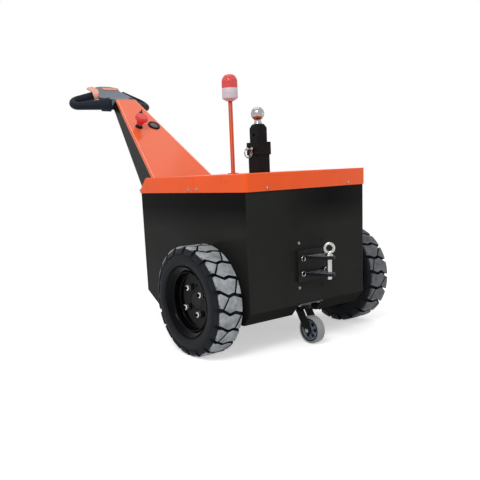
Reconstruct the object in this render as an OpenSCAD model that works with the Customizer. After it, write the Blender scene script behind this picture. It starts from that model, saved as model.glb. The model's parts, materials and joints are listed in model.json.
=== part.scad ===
// Pedestrian electric tow tug: a box body on two driven wheels and two casters,
// a sloping control column with loop grips, a height-set tow ball and a drop-pin clevis.
// Millimetres, +Z up, +X towards the hitch. Every module is written with x = 0 at the hitch face,
// and placed() shifts the whole machine so that its origin lies under the middle of its length.

/* [Body] */
// Length of the body from hitch face to handle end
body_len = 665; // [600:1:760]
// Width of the body over its side panels
body_w = 560; // [500:1:600]
// Thickness of the body panels
panel_t = 3; // [2:0.5:4]
// Outer bend radius at the upright corners
corner_r = 8; // [5:1:14]
// Height of the underside above the ground
floor_z = 106; // [106:1:112]
// Height at which the hitch face folds inwards
hitch_fold_z = 150; // [150:1:158]
// How far the folded strip runs in under the hitch face
hitch_fold_in = 38; // [25:1:60]
// Height at which the handle end folds inwards
handle_fold_z = 161; // [158:1:190]
// How far the folded strip runs in under the handle end
handle_fold_in = 86; // [60:1:110]

/* [Lid] */
// Height of the lid's top face
lid_z = 609; // [580:1:650]
// Depth of the lid's turned-down flange
lid_flange = 59; // [45:1:70]
// Thickness of the lid sheet
lid_t = 2.5; // [2:0.5:3]
// Gap between the flange and the body panel
lid_gap = 1.5; // [1:0.5:3]
// Bend radius along the lid's upper edge
lid_edge_r = 5; // [4:0.5:6]
// Distance of the joint between the two lids from the hitch face
lid_joint_x = 289; // [288:1:330]
// Gap in the joint between the two lids
lid_joint_gap = 1.5; // [1:0.5:3]
// Run of the lid's sloping handle end
lid_slope_run = 56; // [40:1:70]

/* [Drive wheels] */
// Outside diameter over the tread
tyre_od = 380; // [372:1:388]
// Width of the tyre
tyre_w = 111; // [104:1:114]
// Clearance between a body side and the tyre beside it
wheel_clear = 29; // [26:1:38]
// Distance of the axle from the hitch face
axle_back = 180; // [175:1:190]
// Depth of the tread grooves
groove_depth = 10; // [7:1:12]
// Number of tread rows round the tyre
tread_rows = 20; // [16:2:22]
// Diameter of the rim over its flanges
rim_flange_d = 244; // [238:1:250]
// Diameter of the rim barrel
rim_barrel_d = 203; // [196:1:208]
// Thickness of the rim's sheet
rim_t = 5; // [4:0.5:7]
// Depth of the wheel disc below the tyre's outer face
disc_depth = 47; // [38:1:50]
// Circle through the wheel studs
stud_pcd = 102; // [98:1:110]
// Diameter of the wheel studs
stud_d = 12; // [10:1:14]
// Diameter of the drive shaft where it enters the axle tube
shaft_d = 40; // [34:1:46]
// Diameter of the axle tube
axle_tube_d = 68; // [60:1:74]

/* [Casters] */
// Diameter of a caster wheel
caster_d = 100; // [96:1:100]
// Width of a caster wheel
caster_w = 32; // [26:1:34]
// Offset of the caster axle behind its swivel
caster_trail = 43; // [38:1:44]
// Width of a caster's top plate
caster_plate_w = 115; // [108:1:118]
// Length of a caster's top plate
caster_plate_l = 85; // [80:1:87]
// Thickness of a caster's top plate
caster_plate_t = 5; // [4:0.5:6]
// Thickness of the fork's sides
fork_t = 4; // [3:0.5:5]
// Diameter of the caster axle bolt
caster_axle_d = 10; // [8:1:12]

/* [Control column] */
// Height of the column's upper edge
column_top_z = 984; // [940:1:1020]
// Distance of the column's upper edge from the hitch face
column_top_x = 1231; // [1180:1:1260]
// Slope of the column's face below the horizontal
column_angle = 39.2; // [37:0.1:42]
// Width of the column at its upper edge
column_top_w = 107; // [95:1:125]
// Gain in width for each millimetre down the column
column_flare = 0.342; // [0.28:0.002:0.36]
// Depth of the column at its upper edge
column_top_depth = 58; // [50:1:65]
// Gain in depth for each millimetre down the column
column_deepen = 0.098; // [0.08:0.002:0.12]
// Thickness of the column's sheets
column_t = 2.5; // [2:0.5:3]
// Depth of the top sheet's turned edges
column_lip = 12; // [8:1:16]

/* [Column head] */
// Height of the head's upper edge
head_top_z = 1071; // [1060:1:1080]
// Distance of the head's upper edge from the hitch face
head_end_x = 1436; // [1430:1:1446]
// Half the width of the head at its widest
head_half_w = 92; // [84:1:96]
// Half the width of the head at its waist
waist_half_w = 58; // [54:1:62]
// Thickness of the head's cover plate
cover_t = 3; // [2:0.5:4]
// Diameter of the grip tube
grip_d = 36; // [32:1:38]
// Reach of the loop grips from the machine's middle
grip_reach = 219; // [212:1:225]
// Slope of the loops up towards the operator
grip_rise = 30.8; // [28:0.2:34]
// Sweep of the loops towards the operator
grip_sweep = 9.4; // [6:0.2:12]
// Droop of the loops towards their outer ends
grip_droop = 15.4; // [12:0.2:18]
// Bend radius at the outer end of a loop
grip_bend_r = 34; // [30:1:38]
// Distance between the near and far arms where they leave the head
grip_span = 132; // [126:1:138]

/* [Controls] */
// Diameter of the red stop button
stop_d = 59; // [50:1:62]
// Distance of the stop button down the column's face
stop_down = 226; // [215:1:240]
// Distance of the stop button and the gauge from the middle
control_y = 40; // [38:1:44]
// Diameter of the charge gauge
gauge_d = 58; // [52:1:60]
// Distance of the key switch down the column's face
key_down = 112; // [100:1:130]

/* [Beacon] */
// Diameter of the beacon's mast
mast_d = 16.5; // [14:0.5:20]
// Distance of the mast from the hitch face
mast_x = 417; // [380:1:440]
// Height of the top of the mast
mast_top_z = 884; // [820:1:920]
// Diameter of the beacon
beacon_d = 61; // [55:1:68]
// Height of the beacon's base
beacon_base_h = 48; // [42:1:55]
// Height of the beacon's lens
beacon_lens_h = 52; // [46:1:60]

/* [Tow ball] */
// Distance of the receiver from the hitch face
receiver_x = 258; // [254:1:260]
// Outside width of the receiver tube
receiver_w = 56; // [54:1:57]
// Wall of the receiver tube
receiver_wall = 5; // [4:0.5:5]
// Width of the receiver's collar
collar_w = 64; // [62:1:68]
// Height of the collar's lower edge
collar_z = 673; // [650:1:680]
// Height of the collar
collar_h = 46; // [40:1:48]
// Clearance of the ball bar in the receiver, each side
bar_gap = 0.4; // [0.3:0.1:0.8]
// Distance between the bar's locking holes
bar_pitch = 50; // [45:1:55]
// Diameter of the bar's locking holes
lock_d = 11; // [10:0.5:13]
// Height of the pull pin
lock_z = 695; // [690:1:700]
// Diameter of the tow ball
ball_d = 50; // [50:0.5:60]
// Height of the tow ball's centre
ball_z = 821; // [815:1:840]

/* [Clevis] */
// Distance of the tow pin from the hitch face
pin_x = 88; // [80:1:96]
// Diameter of the tow pin
pin_d = 18; // [16:0.5:22]
// Clearance of the tow pin in its ears, each side
pin_gap = 0.3; // [0.2:0.1:0.5]
// Height of the clevis's middle
clevis_z = 286.6; // [280:0.2:292]
// Gap between the two ears
ear_gap = 48; // [42:1:54]
// Thickness of an ear
ear_t = 10; // [8:1:12]
// Radius of an ear's rounded end
ear_r = 20; // [18:1:23]
// Width of an ear at its root
ear_root_w = 80; // [70:1:84]
// Thickness of the clevis's back plate
back_plate_t = 12; // [8:1:14]
// Width of the clevis's back plate
back_plate_w = 140; // [134:1:150]
// Height of the clevis's back plate
back_plate_h = 110; // [100:1:116]
// Distance between the two columns of hitch holes
hole_span_y = 108; // [104:1:114]
// Distance between neighbouring rows of hitch holes
hole_pitch_z = 52.4; // [50:0.2:55]
// Diameter of the hitch holes
hitch_hole_d = 10.5; // [9:0.5:12]
// Diameter over the eye on the tow pin
eye_od = 45; // [40:1:50]
// Thickness of the eye's ring
eye_t = 11; // [9:1:12]

/* [Hidden] */
$fn = 48;

// Outer reach of the lid over the body panels
lid_out = lid_gap + lid_t;
// Slope of the lid's handle end, with its two corners moved in by a sheet or a gap
lid_slope = atan((lid_flange - lid_edge_r) / lid_slope_run);
function slope_top(inset) = [-body_len - lid_out + lid_slope_run + inset * tan(lid_slope / 2), lid_z - inset];
function slope_foot(inset) =
    [-body_len - lid_out + inset, lid_z - lid_flange + lid_edge_r - inset * tan((90 - lid_slope) / 2)];
// Where a loop leaves the head, and how far it turns at its outer end
grip_root_x = -1284;
grip_root_y = 62;
grip_root_z = 965;
grip_swell = 8;
near_angle = 26.3;
near_root = [-6, 5];
near_root_d = grip_d + 20;
far_root = [12, grip_span - 8];
far_root_d = grip_d + 6;
grip_joint = 0.6;
boss_d = 58;
boss_flare = 10;
boss_len = 46;
boss_sink = 3;
lever_pivot_y = 88;
lever_shaft_d = 10;
lever_hub_d = 28;
// Reach of the machine on each side of the hitch face, and the shift that centres it
hitch_reach = pin_x + ear_r;
grip_bend_x = grip_reach - grip_root_y - grip_bend_r - grip_d / 2 + grip_swell;
grip_bend_y = grip_span - grip_bend_r;
back_x = cos(grip_droop) * sin(grip_sweep);
back_y = cos(grip_rise) * cos(grip_sweep) + sin(grip_rise) * sin(grip_sweep) * sin(grip_droop);
handle_reach = max(head_end_x,
    grip_d / 2 - grip_root_x + back_x * grip_bend_x + back_y * grip_bend_y + norm([back_x, back_y]) * grip_bend_r);
face_x = (handle_reach - hitch_reach) / 2;
// Upper edge of the body panels, where the lid rests
panel_top_z = lid_z - lid_t;
// Reach of the end panels round the upright corners, and of the folded strips up the ends
panel_fold = corner_r + 6;
strip_gap = 0.3;
strip_top = max(hitch_fold_z, handle_fold_z) + 2 * panel_t;
// Drive axle
axle_z = tyre_od / 2;
wheel_mid_y = body_w / 2 + wheel_clear + tyre_w / 2;
disc_y = wheel_mid_y + tyre_w / 2 - disc_depth;
disc_t = 7;
hub_face_y = disc_y - disc_t;
axle_tube_end_y = body_w / 2 + 11;
axle_tube_hole_d = axle_tube_d + 2;
shaft_gap = 0.05;
shaft_in = 45;
hub_gap = 2;
hub_neck_r = 42;
hub_plate_r = 70;
hub_plate_t = 10;
rim_bore_r = 30;
spigot_gap = 0.5;
stud_out = 24;
stud_turn = 31.5;
// Rim flanges, set in from the tyre's sides, and the rise from the barrel to a flange
rim_half = tyre_w / 2 - 5;
flange_run = 8;
// Tread
tread_base_r = tyre_od / 2 - groove_depth;
tread_chamfer = 13;
shoulder_drop = 16;
shoulder_in = 1;
row_step = 360 / tread_rows;
split_half = 2.5;
groove_mid_half = 4;
groove_end_half = 8;
// Casters: [name side, swivel x, folds from]
shelf_t = 4;
shelf_z = hitch_fold_z;
well_w = caster_plate_w + 11;
well_l = caster_plate_l + 11;
swivel_in = caster_plate_l / 2;
swivel_hitch_x = -swivel_in;
swivel_handle_x = -body_len + swivel_in + 3;
caster_z = caster_d / 2;
race_d = 60;
race_h = 8;
crown_d = 56;
crown_top_z = shelf_z - caster_plate_t - race_h - 0.3;
crown_h = 14;
fork_half = caster_w / 2 + 3;
fork_eye_r = 16;
caster_rubber = 9;
caster_boss_r = 14;
// Heavy masses: drive unit, and battery with its clearance to what stands beside it
drive_l = 84;
drive_w = 260;
drive_h = 160;
battery_gap = 16.5;
battery_side = 60;
battery_h = 220;
// Column frame
col_len = (column_top_x - body_len) / cos(column_angle) + 2.5 * column_top_depth;
function col_w(a) = column_top_w + column_flare * a;
function col_depth(a) = column_top_depth + column_deepen * a;
// Head: bend of its cover, its rim past the housing, its skirt beside the column, its waist and its bowed end
cover_bend_x = 1322;
cover_bend_z = 1003;
cover_rim = 2;
skirt_len = 24;
skirt_h = 25;
waist_x = 1394;
head_end_w = 132;
head_bow = 14;
// Strip on the cover: distance up from the bend, width, thickness, and its reach to either side
strip_up = 104;
strip_w = 22;
strip_t = 1.5;
strip_y = [-28, 55];
// Stop button: collar, cone and head
stop_neck_d = 27;
stop_neck_h = 14;
stop_cone_d = 42;
stop_cone_h = 24;
stop_head_h = 24;
// Key switch: ring, and the key that stands in it: [length, thickness, height]
key_y = 28;
key_ring_d = 22;
key_ring_h = 5;
key_size = [12, 2.5, 14];
// Gauge: its places past the stop button, and its height
gauge_up = 10;
gauge_out = 6;
gauge_h = 6;
// Beacon: foot of its mast, and the taper under its base
mast_foot_d = 44;
mast_foot_h = 3;
beacon_taper_h = 9;
// Pull pin: reach past the collar, and its ring
pull_reach = 26;
pull_ring_r = 17;
pull_ring_bar = 3.2;
// Receiver and ball bar
bar_w = receiver_w - 2 * receiver_wall - 2 * bar_gap;
bar_top_z = ball_z - 37;
bar_chamfer = 14;
bar_low_z = 500;
collar_top_z = collar_z + collar_h;
neck_top_r = 12.5;
neck_low_r = 16;
// Clevis
ear_low_z = clevis_z - ear_gap / 2 - ear_t;
ear_high_z = clevis_z + ear_gap / 2;
pin_tip = 12;
pin_collar_h = 8;
pin_collar_r = 13;
screw_head_r = 10;
screw_head_h = 10;

module placed() {
    translate([face_x, 0, 0]) children();
}

// A bar along Y between two faces
module along_y(r, y0, y1) {
    translate([0, y0, 0]) rotate([-90, 0, 0]) cylinder(r = r, h = y1 - y0);
}

// A bar along X between two faces
module along_x(r, x0, x1) {
    translate([x0, 0, 0]) rotate([0, 90, 0]) cylinder(r = r, h = x1 - x0);
}

// A plan rectangle from x1 back to x0 with round corners
module round_plan(x0, x1, w, r) {
    translate([x0 + r, -w / 2]) square([x1 - x0 - 2 * r, w]);
    translate([x0, -w / 2 + r]) square([x1 - x0, w - 2 * r]);
    for (x = [x0 + r, x1 - r], y = [-w / 2 + r, w / 2 - r]) translate([x, y]) circle(r = r);
}

// Side outline of the body, moved inwards by the sheet already passed
module body_outline(inset, top) {
    ha = atan(hitch_fold_in / (hitch_fold_z - floor_z));
    ra = atan(handle_fold_in / (handle_fold_z - floor_z));
    polygon([
        [-inset, top],
        [-inset, hitch_fold_z + inset * tan(ha / 2)],
        [-hitch_fold_in - inset * tan(45 - ha / 2), floor_z + inset],
        [-body_len + handle_fold_in + inset * tan(45 - ra / 2), floor_z + inset],
        [-body_len + inset, handle_fold_z + inset * tan(ra / 2)],
        [-body_len + inset, top]
    ]);
}

module body_block(inset, top) {
    intersection() {
        translate([0, body_w / 2 - inset, 0]) rotate([90, 0, 0])
            linear_extrude(height = body_w - 2 * inset) body_outline(inset, top);
        linear_extrude(height = top)
            round_plan(-body_len + inset, -inset, body_w - 2 * inset, corner_r - inset);
    }
}

// Space under the lid's sloping end
module under_slope() {
    top = panel_top_z + 1;
    a = slope_top(lid_out);
    b = slope_foot(lid_out);
    rise = tan(lid_slope);
    translate([0, body_w, 0]) rotate([90, 0, 0]) linear_extrude(height = 2 * body_w)
        polygon([[1, 0], [1, top], [a[0] + (top - a[1]) / rise, top], [b[0] - 1, b[1] - rise], [b[0] - 1, 0]]);
}

// Cut-outs round the casters, through fold and floor
module caster_wells(grow) {
    for (x0 = [-well_l + grow, -body_len - 1])
        translate([x0, -well_w / 2 + grow, 0])
            cube([well_l + 1 - grow, well_w - 2 * grow, shelf_z + shelf_t]);
}

module body_shell() {
    difference() {
        body_block(0, panel_top_z);
        body_block(panel_t, panel_top_z + 1);
        caster_wells(0);
        translate([-axle_back, 0, axle_z]) along_y(axle_tube_hole_d / 2, -body_w, body_w);
    }
}

// Two columns of holes in the hitch face
module end_holes() {
    for (y = [-hole_span_y / 2, hole_span_y / 2], row = [-1.5 : 1 : 1.5])
        translate([0, y, clevis_z + row * hole_pitch_z]) along_x(hitch_hole_d / 2, -20, 1);
}

module above_floor() {
    translate([-body_len - 1, -body_w, floor_z + panel_t])
        cube([body_len + 2, 2 * body_w, panel_top_z]);
}

// The end panels are folded round the upright corners and in under the ends
module end_panel(x_face, x_strip, strip_len) {
    color("#1c1c1d") {
        intersection() {
            difference() {
                translate([0, 0, floor_z + panel_t]) linear_extrude(height = panel_top_z - floor_z - panel_t)
                    intersection() {
                        difference() {
                            round_plan(-body_len, 0, body_w, corner_r);
                            round_plan(-body_len + panel_t, -panel_t, body_w - 2 * panel_t, corner_r - panel_t);
                        }
                        translate([x_face - panel_fold, -body_w]) square([2 * panel_fold, 2 * body_w]);
                    }
                end_holes();
                caster_wells(0);
            }
            translate([0, body_w, 0]) rotate([90, 0, 0]) linear_extrude(height = 2 * body_w)
                body_outline(0, panel_top_z + 1);
            under_slope();
        }
        difference() {
            translate([0, body_w / 2 - panel_t - strip_gap, 0]) rotate([90, 0, 0])
                linear_extrude(height = body_w - 2 * (panel_t + strip_gap)) intersection() {
                    difference() {
                        body_outline(0, panel_top_z);
                        body_outline(panel_t, panel_top_z + 1);
                    }
                    translate([x_strip, floor_z + panel_t]) square([strip_len, strip_top - floor_z - panel_t]);
                }
            caster_wells(0);
        }
    }
}

module side_panel(y0) {
    color("#1c1c1d") intersection() {
        body_shell();
        above_floor();
        translate([-body_len + panel_fold, y0, 0]) cube([body_len - 2 * panel_fold, panel_t, panel_top_z + 1]);
        under_slope();
    }
}

module side_panel_left() { side_panel(-body_w / 2); }
module side_panel_right() { side_panel(body_w / 2 - panel_t); }
module hitch_panel() { end_panel(0, -2 * hitch_fold_in, 3 * hitch_fold_in); }
module handle_panel() { end_panel(-body_len, -body_len - handle_fold_in, 3 * handle_fold_in); }

module floor_pan() {
    color("#1c1c1d") difference() {
        body_shell();
        above_floor();
    }
}

// Folded trays that carry the casters inside the cut-outs
module shelf(x_open, back) {
    difference() {
        translate([back > 0 ? x_open - well_l : x_open, -well_w / 2, floor_z])
            cube([well_l, well_w, shelf_z + shelf_t - floor_z]);
        translate([back > 0 ? x_open - well_l + shelf_t : x_open - 1, -well_w / 2 + shelf_t, floor_z - 1])
            cube([well_l - shelf_t + 1, well_w - 2 * shelf_t, shelf_z - floor_z + 1]);
    }
}

module caster_shelves() {
    color("#202022") intersection() {
        union() {
            shelf(0, 1);
            shelf(-body_len, -1);
        }
        body_block(0, panel_top_z);
    }
}

// Lid. Its inner bends are as wide as its gap, so that the panels fill its corners
function lid_bend(inset) = inset > 0 ? lid_gap : lid_edge_r;
function lid_low(inset) = lid_z - lid_flange - (inset > 0 ? 1 : 0);

module lid_outline(inset) {
    x1 = lid_out - inset;
    top = lid_z - inset;
    r = lid_bend(inset);
    polygon([
        [x1, lid_low(inset)], [x1, top - r], [x1 - r, top], slope_top(inset), slope_foot(inset),
        [-body_len - x1, lid_low(inset)]
    ]);
    translate([x1 - r, top - r]) circle(r = r);
}

module lid_section(inset) {
    hw = body_w / 2 + lid_out - inset;
    top = lid_z - inset;
    r = lid_bend(inset);
    translate([-hw, lid_low(inset)]) square([2 * hw, top - r - lid_low(inset)]);
    translate([-hw + r, lid_low(inset)]) square([2 * hw - 2 * r, top - lid_low(inset)]);
    for (y = [-hw + r, hw - r]) translate([y, top - r]) circle(r = r);
}

module lid_block(inset) {
    hw = body_w / 2 + lid_out - inset;
    intersection() {
        translate([0, hw, 0]) rotate([90, 0, 0]) linear_extrude(height = 2 * hw) lid_outline(inset);
        translate([-body_len - 20, 0, 0]) rotate([90, 0, 90])
            linear_extrude(height = body_len + 40) lid_section(inset);
        linear_extrude(height = lid_z)
            round_plan(-body_len - lid_out + inset, lid_out - inset, 2 * hw, corner_r + lid_out - inset);
    }
}

module lid_shell() {
    difference() {
        lid_block(0);
        lid_block(lid_t);
    }
}

module lid_hitch() {
    color("#ec6437") difference() {
        lid_shell();
        translate([-body_len - 50, -body_w, 0])
            cube([body_len + 50 - lid_joint_x + lid_joint_gap / 2, 2 * body_w, lid_z + 1]);
        translate([-receiver_x, 0, lid_z]) cube([receiver_w + 2, receiver_w + 2, 20], center = true);
    }
}

module lid_handle() {
    color("#ec6437") difference() {
        lid_shell();
        translate([-lid_joint_x - lid_joint_gap / 2, -body_w, 0])
            cube([body_len, 2 * body_w, lid_z + 1]);
    }
}

// Heavy masses inside the body: the battery fills the floor between the receiver and the handle-end caster
module drive_unit() {
    color("#3a3a3c") translate([-axle_back - drive_l / 2, -drive_w / 2, floor_z + panel_t])
        cube([drive_l, drive_w, drive_h]);
}

module battery() {
    x1 = -receiver_x - receiver_w / 2 - battery_gap;
    x0 = -body_len + well_l + battery_gap;
    color("#2b2b2e") translate([x0, -body_w / 2 + battery_side, floor_z + panel_t])
        cube([x1 - x0, body_w - 2 * battery_side, battery_h]);
}

module axle_tube(side) {
    color("#2a2a2c") translate([-axle_back, 0, axle_z]) difference() {
        if (side > 0) along_y(axle_tube_d / 2, drive_w / 2, axle_tube_end_y);
        else along_y(axle_tube_d / 2, -axle_tube_end_y, -drive_w / 2);
        if (side > 0) along_y(shaft_d / 2 + shaft_gap, axle_tube_end_y - shaft_in - 2, axle_tube_end_y + 1);
        else along_y(shaft_d / 2 + shaft_gap, -axle_tube_end_y - 1, -axle_tube_end_y + shaft_in + 2);
    }
}

module axle_tube_left() { axle_tube(-1); }
module axle_tube_right() { axle_tube(1); }

// Column frame: x runs down the face, z points out of it
module on_column() {
    translate([-column_top_x, 0, column_top_z]) rotate([0, column_angle, 0]) children();
}

module column_block(inset, skin) {
    intersection() {
        translate([0, 0, -400]) linear_extrude(height = 400 - skin)
            polygon([
                [0, -col_w(0) / 2 + inset], [col_len, -col_w(col_len) / 2 + inset],
                [col_len, col_w(col_len) / 2 - inset], [0, col_w(0) / 2 - inset]
            ]);
        translate([0, 300, 0]) rotate([90, 0, 0]) linear_extrude(height = 600)
            polygon([
                [0, 1], [col_len, 1], [col_len, -col_depth(col_len) + inset],
                [0, -col_depth(0) + inset]
            ]);
    }
}

module behind_body() {
    intersection() {
        children();
        translate([-head_end_x, -body_w, 0]) cube([head_end_x - body_len, 2 * body_w, 2 * head_top_z]);
    }
}

module column_case() {
    color("#1d1d1f") behind_body() on_column() difference() {
        column_block(column_t, column_t);
        translate([-1, 0, 1]) column_block(2 * column_t, column_t);
    }
}

module column_sheet() {
    color("#f0764f") behind_body() on_column() difference() {
        intersection() {
            column_block(0, 0);
            translate([0, -300, -column_lip]) cube([col_len, 600, column_lip]);
        }
        translate([-1, 0, 0]) column_block(column_t, column_t);
    }
}

// Column head. Side line of its cover, from the column's upper edge back: [x, z]
function cover_line() = [[-column_top_x, column_top_z], [-cover_bend_x, cover_bend_z], [-head_end_x, head_top_z]];
// Under side of the cover where it meets the column, on the column's end face
function cover_foot(depth) = [-column_top_x - depth * tan(column_angle), column_top_z - depth];
// Under side of the housing, from the column back: [x, z]
function housing_belly() = [[-cover_bend_x - 12, 948], [-head_end_x + 44, 984], [-head_end_x + 8, 1030]];
// One side of the head's plan, from the column back: [x, half width]
function head_side() = [
    [-column_top_x, column_top_w / 2], [-cover_bend_x, head_half_w],
    [-waist_x + 28, (head_half_w + waist_half_w) / 2], [-waist_x + 7, waist_half_w],
    [-waist_x - 8, waist_half_w], [-head_end_x + head_bow, head_end_w / 2],
    [-head_end_x + head_bow / 2, head_end_w / 2 - 16], [-head_end_x, head_end_w / 2 - 42]
];

module head_plan(inset) {
    side = head_side();
    last = len(side) - 1;
    polygon(concat(
        [for (i = [0 : last]) [side[i][0] + (i > 4 ? inset : 0), side[i][1] - inset]],
        [for (i = [last : -1 : 0]) [side[i][0] + (i > 4 ? inset : 0), inset - side[i][1]]]
    ));
}

module head_solid(inset) {
    intersection() {
        translate([0, 200, 0]) rotate([90, 0, 0]) linear_extrude(height = 400) children();
        linear_extrude(height = 2 * head_top_z) head_plan(inset);
    }
}

module head_housing() {
    line = cover_line();
    drop = [0, cover_t];
    color("#1f2225") difference() {
        union() {
            head_solid(cover_rim) polygon(concat(
                [cover_foot(cover_t), cover_foot(column_top_depth * cos(column_angle))],
                housing_belly(), [line[2] - drop, line[1] - drop]
            ));
            for (side = [0, 1]) mirror([0, side, 0]) grip_boss();
        }
        for (side = [0, 1]) mirror([0, side, 0]) grip();
        thumb_lever();
    }
}

module head_cover() {
    line = cover_line();
    drop = [0, cover_t];
    end = [-column_top_x - skirt_len, column_top_z];
    color("#5b6672") difference() {
        union() {
            head_solid(0) polygon([line[0], line[1], line[2], line[2] - drop, line[1] - drop, cover_foot(cover_t)]);
            difference() {
                head_solid(0) polygon([cover_foot(0), cover_foot(skirt_h), end - [0, skirt_h], end]);
                head_solid(cover_rim)
                    polygon([cover_foot(-1), cover_foot(skirt_h + 9), end - [1, skirt_h + 1], end + [-1, 1]]);
            }
        }
        for (side = [0, 1]) mirror([0, side, 0]) {
            grip_boss();
            grip();
        }
        thumb_lever();
    }
}

// Plain strip across the upper end of the cover
module head_strip() {
    slope = atan((head_top_z - cover_bend_z) / (head_end_x - cover_bend_x));
    color("#ee8a55") translate([-cover_bend_x, 0, cover_bend_z]) rotate([0, slope, 0])
        translate([-strip_up - strip_w / 2, strip_y[0], 0]) cube([strip_w, strip_y[1] - strip_y[0], strip_t]);
}

// Loop grip frame: x runs outwards along the droop, y up the slope towards the operator
module on_grip() {
    translate([grip_root_x, -grip_root_y, grip_root_z])
        rotate([180 - grip_rise, grip_droop, -90 - grip_sweep]) children();
}

module grip_rod(p, q, d1, d2) {
    d = q - p;
    translate([p[0], p[1], 0]) rotate([0, 0, atan2(d[1], d[0])]) rotate([0, 90, 0])
        cylinder(d1 = d1, d2 = d2, h = norm(d));
}

module grip() {
    near_end = [grip_bend_x + grip_bend_r * sin(near_angle), grip_bend_y - grip_bend_r * cos(near_angle)];
    far_end = [grip_bend_x, grip_span];
    color("#1b1f23") on_grip() {
        grip_rod(near_root, near_end, near_root_d, grip_d);
        grip_rod(far_end, far_root, grip_d, far_root_d);
        for (end = [near_end, far_end]) translate([end[0], end[1], 0]) sphere(d = grip_d + grip_joint);
        translate([grip_bend_x, grip_bend_y, 0]) rotate([0, 0, near_angle - 90])
            rotate_extrude(angle = 180 - near_angle) translate([grip_bend_r, 0]) circle(d = grip_d);
    }
}

// Round boss of the housing in which a loop's near arm ends
module grip_boss() {
    on_grip() translate([0, 0, boss_sink])
        grip_rod(near_root + [-2, -1], near_root + boss_len * [cos(near_angle), sin(near_angle)],
            boss_d + boss_flare, boss_d);
}

module grip_left() { grip(); }
module grip_right() { mirror([0, 1, 0]) grip(); }

// Outline of the thumb lever in the loop's plane: [x, y]
function lever_plan() = [
    [12, 160], [4, 115], [10, 88], [22, 76], [26, 66], [46, 63], [45, 85], [38, 110], [43, 135], [48, 157], [36, 166]
];
// Its section along the loop's y: [-y, z]
function lever_section() = [
    [-170, -31], [-112, -32], [-84, -31], [-73, -24], [-67, -11],
    [-73, -10], [-79, -20], [-88, -25], [-112, -26], [-170, -25]
];

// Thumb paddle over the far arm of the left loop: its front edge turned down, a round hub on the head's side
module thumb_lever() {
    color("#ef8b73") on_grip() {
        intersection() {
            translate([0, 0, -40]) linear_extrude(height = 40) polygon(lever_plan());
            translate([60, 0, 0]) rotate([90, 0, -90]) linear_extrude(height = 70) polygon(lever_section());
        }
        translate([-4, lever_pivot_y, -8]) rotate([0, 90, 0]) cylinder(d = lever_shaft_d, h = 20);
        translate([14, lever_pivot_y, -12]) rotate([0, 90, 0]) cylinder(d = lever_hub_d, h = 22);
    }
}

// Controls on the column
module stop_button() {
    on_column() translate([stop_down, -control_y, 0]) {
        color("#1a1a1a") cylinder(d = stop_neck_d, h = stop_neck_h);
        color("#d3202b") {
            translate([0, 0, stop_neck_h]) cylinder(d1 = stop_neck_d, d2 = stop_cone_d, h = stop_cone_h);
            translate([0, 0, stop_neck_h + stop_cone_h]) cylinder(d = stop_d, h = stop_head_h);
        }
    }
}

module key_switch() {
    color("#151515") on_column() translate([key_down, key_y, 0]) {
        cylinder(d = key_ring_d, h = key_ring_h);
        translate([-key_size[0] / 2, -key_size[1] / 2, key_ring_h]) cube(key_size);
    }
}

module charge_gauge() {
    color("#26272a") on_column() translate([stop_down - gauge_up, control_y + gauge_out, 0])
        cylinder(d = gauge_d, h = gauge_h);
}

// Beacon
module lamp_mast() {
    color("#e2603a") translate([-mast_x, 0, lid_z]) {
        cylinder(d = mast_d, h = mast_top_z - lid_z);
        cylinder(d = mast_foot_d, h = mast_foot_h);
    }
}

module beacon_base() {
    color("#c9c8cc") translate([-mast_x, 0, mast_top_z]) {
        cylinder(d1 = beacon_d / 2, d2 = beacon_d - 4, h = beacon_taper_h);
        translate([0, 0, beacon_taper_h]) cylinder(d = beacon_d, h = beacon_base_h - beacon_taper_h);
    }
}

module beacon_lens() {
    r = beacon_d / 2 - 1;
    color("#e0323c") translate([-mast_x, 0, mast_top_z + beacon_base_h]) {
        cylinder(r = r, h = beacon_lens_h - r);
        translate([0, 0, beacon_lens_h - r]) intersection() {
            sphere(r = r);
            translate([0, 0, r]) cube(2 * r, center = true);
        }
    }
}

// Tow ball
module receiver() {
    low = floor_z + panel_t;
    color("#1a1a1b") translate([-receiver_x, 0, 0]) difference() {
        union() {
            translate([-receiver_w / 2, -receiver_w / 2, low])
                cube([receiver_w, receiver_w, collar_top_z - low]);
            translate([-collar_w / 2, -collar_w / 2, collar_z]) cube([collar_w, collar_w, collar_h]);
        }
        translate([-receiver_w / 2 + receiver_wall, -receiver_w / 2 + receiver_wall, low + 6])
            cube([receiver_w - 2 * receiver_wall, receiver_w - 2 * receiver_wall, collar_top_z]);
        translate([0, 0, lock_z]) along_y(lock_d / 2, -collar_w, 0);
    }
}

module pull_pin() {
    nose = receiver_w / 2 - receiver_wall + 0.3;
    color("#c8c8cb") translate([-receiver_x, 0, lock_z]) {
        along_y(lock_d / 2 - 0.3, -collar_w / 2 - pull_reach, -nose);
        translate([0, -collar_w / 2 - pull_reach + 4, 3 - pull_ring_r]) rotate([0, 90, 0])
            rotate_extrude() translate([pull_ring_r, 0]) circle(d = pull_ring_bar);
    }
}

module bar_profile() {
    hw = bar_w / 2;
    polygon([
        [-hw, bar_low_z], [hw, bar_low_z], [hw, bar_top_z - bar_chamfer], [hw - bar_chamfer / 2, bar_top_z],
        [-hw + bar_chamfer / 2, bar_top_z], [-hw, bar_top_z - bar_chamfer]
    ]);
}

module ball_bar() {
    color("#19191b") translate([-receiver_x, 0, 0]) difference() {
        intersection() {
            translate([0, bar_w / 2, 0]) rotate([90, 0, 0]) linear_extrude(height = bar_w) bar_profile();
            translate([-bar_w / 2, 0, 0]) rotate([90, 0, 90]) linear_extrude(height = bar_w) bar_profile();
        }
        for (k = [-2 : 1]) translate([0, 0, lock_z + k * bar_pitch]) along_y(lock_d / 2, -bar_w, bar_w);
    }
}

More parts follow.
